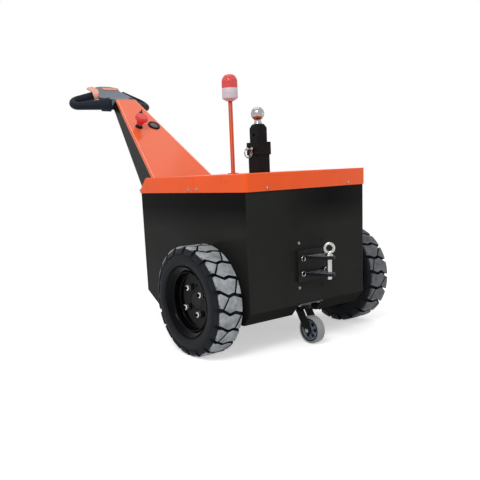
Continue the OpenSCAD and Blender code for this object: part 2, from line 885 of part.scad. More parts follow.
module tow_ball() {
    color("#d9dadd") translate([-receiver_x, 0, 0]) {
        translate([0, 0, bar_top_z]) cylinder(r1 = neck_low_r, r2 = neck_top_r, h = ball_z - bar_top_z - 15);
        translate([0, 0, ball_z]) sphere(d = ball_d);
    }
}

// Clevis
module ear(z0) {
    translate([0, 0, z0]) linear_extrude(height = ear_t) difference() {
        union() {
            polygon([
                [back_plate_t - 1, -ear_root_w / 2], [pin_x, -ear_r],
                [pin_x, ear_r], [back_plate_t - 1, ear_root_w / 2]
            ]);
            translate([pin_x, 0]) circle(r = ear_r);
        }
        translate([pin_x, 0]) circle(r = pin_d / 2 + pin_gap);
    }
}

module clevis() {
    color("#1b1b1c") {
        difference() {
            translate([0, -back_plate_w / 2, clevis_z - back_plate_h / 2])
                cube([back_plate_t, back_plate_w, back_plate_h]);
            for (y = [-hole_span_y / 2, hole_span_y / 2], z = [-hole_pitch_z / 2, hole_pitch_z / 2])
                translate([0, y, clevis_z + z]) along_x(hitch_hole_d / 2, -1, back_plate_t + 1);
        }
        ear(ear_low_z);
        ear(ear_high_z);
    }
}

module clevis_screws() {
    color("#b9bbc0") for (y = [-hole_span_y / 2, hole_span_y / 2], z = [-hole_pitch_z / 2, hole_pitch_z / 2])
        translate([0, y, clevis_z + z]) {
            along_x(hitch_hole_d / 2 - 0.25, -16, back_plate_t);
            along_x(screw_head_r, back_plate_t, back_plate_t + screw_head_h);
        }
}

module tow_pin() {
    top = ear_high_z + ear_t;
    ring_r = (eye_od - eye_t) / 2;
    color("#d4d5d8") translate([pin_x, 0, 0]) {
        translate([0, 0, ear_low_z - pin_tip]) cylinder(d = pin_d, h = top - ear_low_z + pin_tip);
        translate([0, 0, top]) cylinder(r = pin_collar_r, h = pin_collar_h);
        translate([0, 0, top + pin_collar_h + ring_r + eye_t / 2 - 3]) rotate([90, 0, 45])
            rotate_extrude() translate([ring_r, 0]) circle(d = eye_t);
    }
}

// Casters
module caster_plate(x) {
    translate([x, 0, 0]) {
        translate([-caster_plate_l / 2, -caster_plate_w / 2, shelf_z - caster_plate_t])
            cube([caster_plate_l, caster_plate_w, caster_plate_t]);
        translate([0, 0, shelf_z - caster_plate_t - race_h]) cylinder(d = race_d, h = race_h);
    }
}

module caster_plates() {
    color("#2c2d30") {
        caster_plate(swivel_hitch_x);
        caster_plate(swivel_handle_x);
    }
}

module caster_fork(x) {
    low = crown_top_z - crown_h;
    color("#1a1a1c") translate([x, 0, 0]) {
        translate([0, 0, low]) cylinder(d = crown_d, h = crown_h);
        for (s = [-1, 1]) translate([0, s > 0 ? fork_half + fork_t : -fork_half, 0]) rotate([90, 0, 0])
            linear_extrude(height = fork_t) {
                polygon([
                    [-18, crown_top_z - 4], [-20, low], [caster_trail - 12, caster_z - 10],
                    [caster_trail + 14, caster_z + 8], [22, low], [18, crown_top_z - 4]
                ]);
                translate([caster_trail, caster_z]) circle(r = fork_eye_r);
            }
        translate([caster_trail, 0, caster_z])
            along_y(caster_axle_d / 2, -fork_half - fork_t - 5, fork_half + fork_t + 5);
    }
}

module caster_fork_hitch() { caster_fork(swivel_hitch_x); }
module caster_fork_handle() { caster_fork(swivel_handle_x); }

module caster_wheel(x) {
    color("#7d8b9a") translate([x + caster_trail, 0, caster_z]) difference() {
        union() {
            along_y(caster_d / 2 - caster_rubber, -caster_w / 2 + 2, caster_w / 2 - 2);
            along_y(caster_boss_r, -fork_half + 0.5, fork_half - 0.5);
        }
        along_y(caster_axle_d / 2 + 0.05, -caster_w, caster_w);
    }
}

module caster_wheel_hitch() { caster_wheel(swivel_hitch_x); }
module caster_wheel_handle() { caster_wheel(swivel_handle_x); }

module caster_tyre(x) {
    color("#8f9193") translate([x + caster_trail, 0, caster_z]) difference() {
        along_y(caster_d / 2, -caster_w / 2, caster_w / 2);
        along_y(caster_d / 2 - caster_rubber, -caster_w, caster_w);
    }
}

module caster_tyre_hitch() { caster_tyre(swivel_hitch_x); }
module caster_tyre_handle() { caster_tyre(swivel_handle_x); }

// Drive wheels: local z runs along the axle, from the body outwards
module on_axle(side) {
    translate([-axle_back, side * wheel_mid_y, axle_z]) rotate([-90 * side, 0, 0]) children();
}

module wheel_hub(side) {
    z0 = axle_tube_end_y + hub_gap - wheel_mid_y;
    z1 = hub_face_y - wheel_mid_y;
    color("#2f2f31") on_axle(side) {
        translate([0, 0, axle_tube_end_y - shaft_in - wheel_mid_y]) cylinder(d = shaft_d, h = shaft_in + 10);
        translate([0, 0, z0]) cylinder(r = hub_neck_r, h = z1 - z0);
        translate([0, 0, z1 - hub_plate_t]) cylinder(r = hub_plate_r, h = hub_plate_t);
        translate([0, 0, z1 - 1]) cylinder(r = rim_bore_r - spigot_gap, h = disc_t);
        for (k = [0 : 3]) rotate([0, 0, stud_turn + 90 * k]) translate([stud_pcd / 2, 0, z1 - 2])
            cylinder(d = stud_d, h = disc_t + stud_out);
    }
}

module wheel_hub_left() { wheel_hub(-1); }
module wheel_hub_right() { wheel_hub(1); }

// Half section of the rim: [radius, distance from the wheel's middle, outwards positive]
module rim_section() {
    rb = rim_barrel_d / 2;
    rf = rim_flange_d / 2;
    hw = rim_half;
    seat = hw - rim_t - flange_run;
    dz = disc_y - wheel_mid_y;
    polygon([
        [rim_bore_r, dz - disc_t], [rb - rim_t, dz - disc_t], [rb - rim_t, -hw + 6], [rf - 8, -hw], [rf, -hw],
        [rf, -hw + rim_t], [rb, -seat], [rb, seat], [rf, hw - rim_t], [rf, hw],
        [rf - 8, hw], [rb - rim_t, hw - 8], [rb - rim_t, dz + 3], [rb - rim_t - 4, dz], [rim_bore_r, dz]
    ]);
}

module rim(side) {
    color("#17181a") on_axle(side) difference() {
        rotate_extrude($fn = 64) rim_section();
        for (k = [0 : 3]) rotate([0, 0, stud_turn + 90 * k]) translate([stud_pcd / 2, 0, -tyre_w])
            cylinder(d = stud_d + 1, h = 2 * tyre_w);
    }
}

module rim_left() { rim(-1); }
module rim_right() { rim(1); }

// Half section of the tyre with its tread
module tyre_section() {
    rb = rim_barrel_d / 2;
    rf = rim_flange_d / 2;
    ro = tyre_od / 2;
    hw = tyre_w / 2;
    seat = rim_half - rim_t - flange_run;
    polygon([
        [rb, -seat], [rf, rim_t - rim_half], [rf + 5, -hw], [tread_base_r - 14, -hw],
        [ro - shoulder_drop, -hw + shoulder_in], [ro, -hw + tread_chamfer], [ro, hw - tread_chamfer],
        [ro - shoulder_drop, hw - shoulder_in], [tread_base_r - 14, hw], [rf + 5, hw],
        [rf, rim_half - rim_t], [rb, seat]
    ]);
}

// Groove line across the tread: [share of the width from the outer shoulder, share of a row]
function groove_line() = [[-0.1, 0], [0.045, 0], [0.18, 0.07], [0.43, 0.36], [0.62, 0.28], [0.955, 0.5], [1.1, 0.5]];

// Groove along the tread between a wide and a narrow block, for even and odd rows: [start, end]
function split_line(odd) = odd ? [[0.44, 0.36], [0.2, 1.08]] : [[0.85, 0.44], [0.68, 1.32]];

// A cutter that stands on the tread's base, drawn with x along the tread and y across it
module tread_cutter() {
    translate([tread_base_r, 0, 0]) rotate([90, 0, 90]) linear_extrude(height = 2 * groove_depth) children();
}

module tread_grooves(row) {
    pitch = PI * tyre_od / tread_rows;
    mid = 0.25;
    line = groove_line();
    split = split_line(row % 2 == 1);
    split_mid = (split[0][1] + split[1][1]) / 2;
    last = len(line) - 1;
    half = [for (i = [0 : last]) i == 0 || i == last ? groove_end_half : groove_mid_half];
    rotate([0, 0, -row_step * (row + mid)]) tread_cutter() polygon(concat(
        [for (i = [0 : last]) [(mid - line[i][1]) * pitch + half[i], (0.5 - line[i][0]) * tyre_w]],
        [for (i = [last : -1 : 0]) [(mid - line[i][1]) * pitch - half[i], (0.5 - line[i][0]) * tyre_w]]
    ));
    rotate([0, 0, -row_step * (row + split_mid)]) tread_cutter() polygon([
        for (p = [[0, 1], [1, 1], [1, -1], [0, -1]])
            [(split_mid - split[p[0]][1]) * pitch, (0.5 - split[p[0]][0]) * tyre_w + p[1] * split_half]
    ]);
}

module tyre(side) {
    color("#2b2c2e") on_axle(side) difference() {
        rotate_extrude($fn = 3 * tread_rows) tyre_section();
        for (row = [0 : tread_rows - 1]) tread_grooves(row);
    }
}

module tyre_left() { tyre(-1); }
module tyre_right() { tyre(1); }

placed() side_panel_left();
placed() side_panel_right();
placed() hitch_panel();
placed() handle_panel();
placed() floor_pan();
placed() caster_shelves();
placed() lid_hitch();
placed() lid_handle();
placed() drive_unit();
placed() battery();
placed() axle_tube_left();
placed() axle_tube_right();
placed() column_sheet();
placed() column_case();
placed() head_housing();
placed() head_cover();
placed() head_strip();
placed() grip_left();
placed() grip_right();
placed() thumb_lever();
placed() stop_button();
placed() key_switch();
placed() charge_gauge();
placed() lamp_mast();
placed() beacon_base();
placed() beacon_lens();
placed() receiver();
placed() pull_pin();
placed() ball_bar();
placed() tow_ball();
placed() clevis();
placed() clevis_screws();
placed() tow_pin();
placed() caster_plates();
placed() caster_fork_hitch();
placed() caster_fork_handle();
placed() caster_wheel_hitch();
placed() caster_wheel_handle();
placed() caster_tyre_hitch();
placed() caster_tyre_handle();
placed() wheel_hub_left();
placed() wheel_hub_right();
placed() rim_left();
placed() rim_right();
placed() tyre_left();
placed() tyre_right();
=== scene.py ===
import json
import math
import bpy
from mathutils import Matrix, Vector


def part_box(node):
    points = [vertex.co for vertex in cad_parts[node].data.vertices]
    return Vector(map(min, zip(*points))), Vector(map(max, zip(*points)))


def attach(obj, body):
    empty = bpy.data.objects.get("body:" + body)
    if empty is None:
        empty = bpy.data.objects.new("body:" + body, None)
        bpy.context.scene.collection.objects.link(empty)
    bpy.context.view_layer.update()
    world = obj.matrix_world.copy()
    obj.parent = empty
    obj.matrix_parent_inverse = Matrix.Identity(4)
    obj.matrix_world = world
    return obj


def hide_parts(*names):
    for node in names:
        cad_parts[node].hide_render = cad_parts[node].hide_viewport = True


bl_info = {
    "name": "Pedestrian Tow Tug",
    "version": (1, 0, 0),
    "blender": (4, 5, 0),
    "location": "View3D > Sidebar > Tow Tug",
    "description": "Builds the looks of a walk-behind electric tow tug round its packed frame",
    "category": "Object",
}

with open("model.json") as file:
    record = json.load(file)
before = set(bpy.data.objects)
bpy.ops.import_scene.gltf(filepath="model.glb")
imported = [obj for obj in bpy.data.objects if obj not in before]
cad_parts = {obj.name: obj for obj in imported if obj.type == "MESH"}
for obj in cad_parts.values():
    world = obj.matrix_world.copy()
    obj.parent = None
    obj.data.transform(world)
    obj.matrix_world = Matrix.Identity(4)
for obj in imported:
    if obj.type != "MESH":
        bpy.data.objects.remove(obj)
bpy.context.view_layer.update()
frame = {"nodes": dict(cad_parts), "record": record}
MM = 0.001
X_AXIS, Y_AXIS, Z_AXIS = (1, 0, 0), (0, 1, 0), (0, 0, 1)


def box_of(node):
    low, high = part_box(node)
    return Vector(low), Vector(high)


def middle(node):
    """The middle of a node's box."""
    low, high = box_of(node)
    return (low + high) / 2


# The x of the hitch face: every place below is written from it, in millimetres
FACE_X = box_of("hitch_panel")[1].x / MM
# Middle of the hitch face's hole pattern, and its clevis screws, its spare threaded holes and the clevis's ears from it
HITCH_Z, SCREW_DY, SCREW_DZ, SPARE_DZ = 286.6, 54, 26.2, 78.6
EAR_DZ, EAR_T, TOW_PIN_X = 24, 10, 88
# The strip folded in under the hitch face: its upper edge, and where its rivets start and end to each side
FOLD_Z, RIVETS_FROM, RIVETS_TO = 150, 78, 258
# The lids' screws: along the sides, and on the hitch face
FLANK_SCREWS_X, FLANK_Y, FLANK_Z = (-657, -320, -270), 284, 561
FRONT_SCREWS_Y, FRONT_X, FRONT_Z = (-193, 193), 4, 560
MAST_X, MAST_FOOT_Z, BEACON_Z, LENS_Z = -417, 609, 884, 932
RECEIVER_X, BALL_Z, PULL_PIN_Z = -258, 821, 695
CASTER_X = {"hitch": -42.5, "handle": -619.5}
# The caster plates' underside, and their bolts from the plate's middle
PLATE_Z, BOLT_DX, BOLT_DY = 145.2, 29, 46
# Outer face of the rim's disc from the wheel's middle, its studs' circle, and the turn of the first of four studs
DISC_FACE, STUD_CIRCLE, STUD_TURN = 8.5, 51, 31.5
# Stop button, key and gauge in the column's frame
BUTTON_AT, KEY_AT, GAUGE_AT = (226, -40), (112, 28), (216, 46)


def at(x, y, z):
    """A place in millimetres from the hitch face, as a point of the frame in metres."""
    return Vector(((x + FACE_X) * MM, y * MM, z * MM))


def hitch_places(dy, dz):
    """Four places on the hitch face, so far from its hole pattern's middle: the left two, then the right two."""
    return [at(0, y, HITCH_Z + z) for y in (-dy, dy) for z in (-dz, dz)]


# ---------------------------------------------------------------- hands


def object_mode():
    if bpy.context.object is not None and bpy.context.object.mode != "OBJECT":
        bpy.ops.object.mode_set(mode="OBJECT")


def pick(*objs):
    object_mode()
    bpy.ops.object.select_all(action="DESELECT")
    for o in objs:
        o.select_set(True)
    bpy.context.view_layer.objects.active = objs[0]


def edit(obj):
    """Edit mode with every corner picked."""
    pick(obj)
    bpy.ops.object.mode_set(mode="EDIT")
    bpy.ops.mesh.select_mode(type="VERT")
    bpy.ops.mesh.select_all(action="SELECT")


def done(obj):
    """Back to object mode with the place in the mesh."""
    object_mode()
    pick(obj)
    bpy.ops.object.transform_apply(location=True, rotation=True, scale=True)
    return obj


def closed(obj):
    """Turns all faces outwards and finishes the mesh."""
    bpy.ops.mesh.select_all(action="SELECT")
    bpy.ops.mesh.normals_make_consistent(inside=False)
    return done(obj)


def trace(name, points):
    """A line through points, drawn by extruding one corner from point to point."""
    object_mode()
    bpy.ops.object.select_all(action="DESELECT")
    bpy.ops.mesh.primitive_circle_add(vertices=3, radius=MM, location=points[0])
    obj = bpy.context.object
    obj.name = name
    bpy.ops.object.mode_set(mode="EDIT")
    bpy.ops.mesh.select_all(action="SELECT")
    bpy.ops.mesh.merge(type="CENTER")
    for a, b in zip(points, points[1:]):
        bpy.ops.mesh.extrude_region_move(TRANSFORM_OT_translate={"value": Vector(b) - Vector(a)})
    return obj


def lathe(name, outline, centre, axis, steps):
    """Spins an outline of (radius, distance along the axis) pairs, in mm, round an axis through centre."""
    axis = Vector(axis).normalized()
    side = axis.orthogonal().normalized()
    points = [Vector(centre) + side * r * MM + axis * h * MM for r, h in outline]
    obj = trace(name, points)
    bpy.ops.mesh.select_all(action="SELECT")
    bpy.ops.mesh.spin(steps=steps, angle=math.tau, center=Vector(centre), axis=axis)
    bpy.ops.mesh.select_all(action="SELECT")
    bpy.ops.mesh.remove_doubles(threshold=2e-5)
    return closed(obj)


def both_sides(half):
    """An outline closed round a wheel's middle plane, from the half of it on one side."""
    return half + [(r, -h) for r, h in reversed(half)] + half[:1]


def arc(radius, degrees, rise=0.0):
    """A lathe outline's arc round a point of the axis."""
    return [(radius * math.cos(a), rise + radius * math.sin(a)) for a in map(math.radians, degrees)]


def hoop(ring, bar, steps):
    """A lathe outline of a round bar bent to a ring."""
    return [(ring + r, h) for r, h in arc(bar, [360 * k / steps for k in range(steps + 1)])]


def plate(name, outline, push):
    """A flat plate: a closed outline of points, filled and pushed out along a vector."""
    obj = trace(name, outline)
    bpy.ops.mesh.select_all(action="SELECT")
    bpy.ops.mesh.edge_face_add()
    bpy.ops.mesh.extrude_region_move(TRANSFORM_OT_translate={"value": Vector(push)})
    return closed(obj)


def rod(name, points, radii, sides):
    """A tube along points with a radius in mm at each, capped at both ends."""
    done(trace(name, points))
    bpy.ops.object.convert(target="CURVE")
    curve = bpy.context.object.data
    curve.bevel_depth = MM
    curve.bevel_resolution = sides // 4
    curve.use_fill_caps = True
    curve.twist_mode = "MINIMUM"
    spline = curve.splines[0]
    ordered = (spline.points[0].co.to_3d() - Vector(points[0])).length < 1e-6
    for p, r in zip(spline.points, radii if ordered else reversed(radii)):
        p.radius = r
    bpy.ops.object.convert(target="MESH")
    obj = bpy.context.object
    edit(obj)
    return closed(obj)


def modify(obj, kind, **settings):
    """Adds a modifier and applies it."""
    pick(obj)
    m = obj.modifiers.new(kind.title(), kind)
    for key, value in settings.items():
        setattr(m, key, value)
    bpy.ops.object.modifier_apply(modifier=m.name)
    return obj


def shade(obj, smooth=35):
    pick(obj)
    bpy.ops.object.shade_smooth_by_angle(angle=math.radians(smooth))
    return obj


def soften(obj, width, segments=2, angle=30, smooth=35):
    """Rounds the sharp edges, width in mm, shades by angle, and keeps large flat faces flat beside the rounding."""
    modify(obj, "BEVEL", width=width * MM, segments=segments, limit_method="ANGLE", angle_limit=math.radians(angle))
    return modify(shade(obj, smooth), "WEIGHTED_NORMAL", keep_sharp=True, weight=100)


def mould(obj, voxel, rounds):
    """Melts a shape's edges as a moulding has them, voxel in mm."""
    modify(obj, "REMESH", mode="VOXEL", voxel_size=voxel * MM)
    modify(obj, "SMOOTH", factor=0.6, iterations=rounds)
    bpy.ops.object.shade_smooth()


def rounded_copy(node, width, segments=2, finish=None, suffix="rounded"):
    """A copy of a CAD node with its flat faces joined up and its edges rounded, which then stands for it."""
    pick(frame["nodes"][node])
    bpy.ops.object.duplicate()
    obj = bpy.context.object
    obj.name = node + "_" + suffix
    obj.data = obj.data.copy()
    obj.parent = None
    for key in [k for k in obj.keys() if k.startswith("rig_")]:
        del obj[key]
    edit(obj)
    bpy.ops.mesh.remove_doubles(threshold=1e-6)
    bpy.ops.mesh.dissolve_limited(angle_limit=math.radians(0.6), delimit={"NORMAL"})
    object_mode()
    if width:
        soften(obj, width, segments)
    stand_for(obj, node, finish)
    return obj


def join(name, objs):
    pick(*objs)
    bpy.ops.object.join()
    obj = bpy.context.object
    obj.name = name
    return obj


def copies(obj, moves):
    """Copies of one modelled piece, each moved by a matrix, joined to the first."""
    made = [obj]
    for m in moves:
        pick(obj)
        bpy.ops.object.duplicate()
        c = bpy.context.object
        c.data = c.data.copy()
        c.data.transform(m)
        made.append(c)
    return join(obj.name, made)


def around(centre, axis, count):
    """The moves that carry a piece to the other places of a full ring of them."""
    c = Matrix.Translation(centre)
    return [c @ Matrix.Rotation(math.tau * k / count, 4, Vector(axis)) @ c.inverted() for k in range(1, count)]


def choose(obj, test):
    """Edit mode with only those corners picked that pass a test."""
    edit(obj)
    bpy.ops.mesh.select_all(action="DESELECT")
    object_mode()
    for v in obj.data.vertices:
        v.select = test(v.co)
    bpy.ops.object.mode_set(mode="EDIT")


def screw(name, place, axis, radius):
    """A round-headed screw with a socket, in mm."""
    height = radius * 0.62
    return shade(lathe(name, [
        (0, height * 0.3), (radius * 0.42, height * 0.3), (radius * 0.5, height), (radius * 0.66, height),
        (radius * 0.88, height * 0.72), (radius, height * 0.25), (radius, -0.3), (0, -0.3)
    ], place, axis, 24))


# The column's frame: x runs down its face from the upper edge, z stands out of it
COLUMN = Matrix.Translation((-1231, 0, 984)) @ Matrix.Rotation(math.radians(39.2), 4, "Y")
# The left loop's frame: x runs outwards, y up the slope towards the operator
GRIP = (Matrix.Translation((-1284, -62, 965)) @ Matrix.Rotation(math.radians(-99.4), 4, "Z")
        @ Matrix.Rotation(math.radians(15.4), 4, "Y") @ Matrix.Rotation(math.radians(149.2), 4, "X"))


def column_point(x, y, z):
    return at(*(COLUMN @ Vector((x, y, z))))


def column_side(x):
    """Half the width of the column's sheet, x down its face."""
    return 53.5 + 0.171 * x


def grip_point(q, side):
    p = GRIP @ Vector(q)
    return at(p.x, side * p.y, p.z)


def body_of(node):
    for body, members in frame["record"]["behaviour"]["bodies"].items():
        if node in members:
            return body
    raise ValueError(node)


def slot_of(node):
    for s in frame["record"]["subparts"]:
        if s["node"] == node:
            return s["material_slot"]
    raise ValueError(node)


def finish_of(node):
    slot = slot_of(node)
    return SLOT_FINISH.get(slot, slot.replace("_", " ").capitalize())


def finish_with(obj, finish):
    obj.data.materials.clear()
    obj.data.materials.append(bpy.data.materials[finish])


def stand_for(obj, node, finish=None):
    """The piece rides where the node does, takes the finish of its slot unless another is given, and hides the node."""
    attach(obj, body_of(node))
    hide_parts(node)
    finish_with(obj, finish or finish_of(node))


def rides(obj, node, finish):
    """A new small piece that goes with a node's body."""
    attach(obj, body_of(node))
    finish_with(obj, finish)


def screw_set(name, places, radius, node):
    """Screws at places with their axes, which go with a node's body."""
    rides(join(name, [screw("screw", place, axis, radius) for place, axis in places]), node, "Chrome")


# ---------------------------------------------------------------- tread

TREAD_BASE = 180.0
TREAD_TOP = 190.0
TYRE_W = 111.0
TREAD_ROWS = 20
# Fall of a block's shoulder below the tread's base at its knee and its foot, and how far each stands out past the top
KNEE_DROP, KNEE_OUT = 5.0, 9.5
FOOT_DROP, FOOT_OUT = 15.0, 2.6
# Line of the grooves across the tread: share of the width from the outer shoulder, share of a row
GROOVE = ((0.117, 0.037), (0.18, 0.07), (0.43, 0.36), (0.62, 0.28), (0.883, 0.455))
# Where the groove along the tread meets a row's two cross grooves, for even and odd rows
SPLIT = ((0.85, 0.68), (0.44, 0.2))


def groove_run(start, end):
    """The groove line between two shares of the width."""
    def level(u):
        for (u0, v0), (u1, v1) in zip(GROOVE, GROOVE[1:]):
            if u <= u1 + 1e-9:
                return v0 + (v1 - v0) * (u - u0) / (u1 - u0)
        return GROOVE[-1][1]
    inside = [g for g in GROOVE if start + 0.01 < g[0] < end - 0.01]
    return [(start, level(start))] + inside + [(end, level(end))]


def tread_block(row, low, high):
    """One flat block with x along the tread, -y outwards and z across, in its place in the row."""
    p = bpy.context.scene.tug_wheels
    pitch = math.tau * TREAD_BASE / TREAD_ROWS
    edge = (0.5 - GROOVE[0][0]) * TYRE_W - 0.5

    def gap(u):
        return (p.groove_end if abs(0.5 - u) * TYRE_W > edge else p.groove_half) / MM

    outline = [(-(row + v) * pitch - gap(u), (0.5 - u) * TYRE_W) for u, v in groove_run(*low)]
    outline += [(-(row + 1 + v) * pitch + gap(u), (0.5 - u) * TYRE_W) for u, v in reversed(groove_run(*high))]
    top = TREAD_BASE - TREAD_TOP
    block = plate("tread_block", [Vector((s, top, h)) * MM for s, h in outline], (0, (FOOT_DROP - top) * MM, 0))
    edit(block)
    bpy.ops.mesh.select_all(action="SELECT")
    bpy.ops.mesh.bisect(plane_co=(0, KNEE_DROP * MM, 0), plane_no=(0, 1, 0))
    for side in (-1, 1):
        for drop, out in ((KNEE_DROP, KNEE_OUT), (FOOT_DROP, FOOT_OUT)):
            choose(block, lambda c: c.y > (drop - 1) * MM and c.z * side > edge * MM)
            bpy.ops.transform.translate(value=(0, 0, side * out * MM))
    object_mode()
    soften(block, p.block_round / MM, 2, 25, 30)
    edit(block)
    xs = [v.co.x for v in block.data.vertices]
    start = min(xs)
    count = int((max(xs) - start) / (7 * MM))
    for k in range(1, count + 1):
        bpy.ops.mesh.select_all(action="SELECT")
        bpy.ops.mesh.bisect(plane_co=(start + (max(xs) - start) * k / (count + 1), 0, 0), plane_no=(1, 0, 0))
    object_mode()
    return block


def tread(centre, side):
    """Two rows of blocks, bent to the tyre and copied round it."""
    half = bpy.context.scene.tug_wheels.split_half / MM / TYRE_W
    blocks = []
    for row, (a, b) in enumerate(SPLIT):
        blocks.append(tread_block(row, (GROOVE[0][0], a - half), (GROOVE[0][0], b - half)))
        blocks.append(tread_block(row, (a + half, GROOVE[-1][0]), (b + half, GROOVE[-1][0])))
    strip = join("tread", blocks)
    xs = [v.co.x for v in strip.data.vertices]
    angle = (max(xs) - min(xs)) / (TREAD_BASE * MM)
    modify(strip, "SIMPLE_DEFORM", deform_method="BEND", deform_axis="Z", angle=angle)
    axle = Matrix.Rotation(math.radians(-90 * side), 4, "X") @ Matrix.Rotation(math.radians(90), 4, "Z")
    strip.data.transform(Matrix.Translation(centre) @ axle @ Matrix.Translation((0, -TREAD_BASE * MM, 0)))
    reach = max((v.co - centre).xz.length for v in strip.data.vertices) / MM
    if abs(reach - TREAD_TOP) > 1.5:
        raise RuntimeError("the tread doesn't lie on the tyre: %.1f mm" % reach)
    return copies(strip, around(centre, Y_AXIS, TREAD_ROWS // 2))


# ---------------------------------------------------------------- finishes


def new_group(name, inputs, outputs):
    """A group of shader nodes that takes named numbers and gives named masks."""
    g = bpy.data.node_groups.new(name, "ShaderNodeTree")
    for label, default in inputs.items():
        g.interface.new_socket(name=label, in_out="INPUT", socket_type="NodeSocketFloat").default_value = default
    for label in outputs:
        g.interface.new_socket(name=label, in_out="OUTPUT", socket_type="NodeSocketFloat")
    return g, g.nodes.new("NodeGroupInput").outputs, g.nodes.new("NodeGroupOutput")


def feed(tree, node, inputs):
    """Gives a node's inputs numbers, colours or other nodes' outputs."""
    for key, value in inputs.items():
        if isinstance(value, bpy.types.NodeSocket):
            tree.links.new(value, node.inputs[key])
        else:
            node.inputs[key].default_value = value


def add(tree, kind, inputs, **settings):
    """A new shader node with its settings and inputs."""
    n = tree.nodes.new("ShaderNode" + kind)
    for key, value in settings.items():
        setattr(n, key, value)
    feed(tree, n, inputs)
    return n


def place_on(tree):
    """The place on the piece."""
    return add(tree, "TexCoord", {}).outputs["Object"]


def along(tree, axis):
    """The place on the piece along X, Y or Z."""
    return add(tree, "SeparateXYZ", {0: place_on(tree)}).outputs[axis]


def noise(tree, vector, scale, detail, rough):
    inputs = {"Vector": vector, "Scale": scale, "Detail": detail, "Roughness": rough}
    return add(tree, "TexNoise", inputs).outputs["Fac"]


def sums(tree, op, *values, clamp=False):
    """Arithmetic on masks and numbers."""
    return add(tree, "Math", dict(enumerate(values)), operation=op, use_clamp=clamp).outputs[0]


def vectors(tree, op, *values):
    """The same on directions and places."""
    return add(tree, "VectorMath", dict(enumerate(values)), operation=op).outputs


def ramp(tree, value, low, high, to_low=0.0, to_high=1.0):
    inputs = {"Value": value, "From Min": low, "From Max": high, "To Min": to_low, "To Max": to_high}
    return add(tree, "MapRange", inputs).outputs["Result"]


def mixed(tree, share, a, b):
    """One colour over another."""
    return add(tree, "Mix", {"Factor": share, "A": a, "B": b}, data_type="RGBA").outputs["Result"]


def make_surface_group():
    """Soft blotches, fine grain and thin scratches that every finish draws on."""
    g, given, out = new_group("Surface Play", {"Blotch Scale": 9.0, "Grain Scale": 900.0, "Scratch Amount": 0.3},
                              ("Blotch", "Grain", "Scratches"))
    co = place_on(g)
    stretch = add(g, "Mapping", {"Vector": co, "Scale": (18.0, 140.0, 26.0), "Rotation": (0.4, 0.3, 0.7)})
    lines = ramp(g, noise(g, stretch.outputs["Vector"], 3.0, 3.0, 0.6), 0.66, 0.74)
    feed(g, out, {
        "Blotch": noise(g, co, given["Blotch Scale"], 4.0, 0.6), "Grain": noise(g, co, given["Grain Scale"], 2.0, 0.5),
        "Scratches": sums(g, "MULTIPLY", lines, given["Scratch Amount"]),
    })


def make_peel_group():
    """The faint waves of sprayed paint, as a height."""
    g, given, out = new_group("Paint Peel", {"Scale": 220.0}, ("Height",))
    co = place_on(g)
    waves, long_waves = noise(g, co, given["Scale"], 1.0, 0.4), noise(g, co, 14.0, 1.0, 0.4)
    feed(g, out, {"Height": sums(g, "MULTIPLY_ADD", long_waves, 3.0, waves)})


def lighter(color, by):
    return tuple(min(1.0, c * by) for c in color)


def finish(name, color, second, rough, play, metallic=0.0, grain=900.0, depth=0.0, peel=0.0, blotch=9.0, clear=0.0,
           ior=1.5):
    """A finish: a colour with a second one, or its own so much lighter, in blotches, with play in its roughness,
    scratches, and the depth of its grain and its paint's waves in mm."""
    m = bpy.data.materials.new(name)
    m.use_nodes = True
    t = m.node_tree
    shader = t.nodes["Principled BSDF"]
    if isinstance(second, float):
        second = lighter(color, second)
    s = add(t, "Group", {"Blotch Scale": blotch, "Grain Scale": grain, "Scratch Amount": 0.2},
            node_tree=bpy.data.node_groups["Surface Play"]).outputs
    shift = sums(t, "MULTIPLY_ADD", s["Grain"], 0.25, ramp(t, s["Blotch"], 0.35, 0.65), clamp=True)
    gloss = ramp(t, s["Blotch"], 0.3, 0.7, rough - play / 2, rough + play / 2)
    feed(t, shader, {
        "Base Color": mixed(t, shift, (*color, 1), (*second, 1)), "Metallic": metallic, "IOR": ior,
        "Roughness": sums(t, "MULTIPLY_ADD", s["Scratches"], 0.15, gloss, clamp=True), "Transmission Weight": clear,
    })
    reliefs = [(depth, s["Grain"])] if depth else []
    if peel:
        waves = add(t, "Group", {}, node_tree=bpy.data.node_groups["Paint Peel"])
        reliefs.append((peel, waves.outputs["Height"]))
    normal = {}
    for deep, height in reliefs:
        bump = add(t, "Bump", {"Distance": deep * MM, "Strength": 1.0, "Height": height, **normal})
        normal = {"Normal": bump.outputs["Normal"]}
    feed(t, shader, normal)
    return m


def faces_towards(t, direction, low, high):
    """One where the surface faces a direction, a vector or a socket, nought where it stands square to it."""
    own = add(t, "TexCoord", {}).outputs["Normal"]
    return ramp(t, vectors(t, "DOT_PRODUCT", own, direction)["Value"], low, high)


def colour_over(material, color, amount):
    """Lays a second colour over a finish's own, as much as the mask says."""
    t = material.node_tree
    shader = t.nodes["Principled BSDF"]
    own = shader.inputs["Base Color"].links[0].from_socket
    feed(t, shader, {"Base Color": mixed(t, amount, own, (*color, 1))})


def dust_and_top_light(material, dust):
    """Settled dust and painted light from above: a paler colour on the upward faces that stand out from the clevis's
    back plate.
    """
    t = material.node_tree
    share = ramp(t, noise(t, place_on(t), 60.0, 3.0, 0.6), 0.35, 0.6, 0.35, 1.0)
    # Upward faces of the ears: dust, and painted light from above
    dusty_lit_tops = sums(t, "MULTIPLY", faces_towards(t, Z_AXIS, 0.7, 0.95), ramp(t, along(t, "X"), 0.677, 0.682))
    colour_over(material, dust, sums(t, "MULTIPLY", dusty_lit_tops, share))


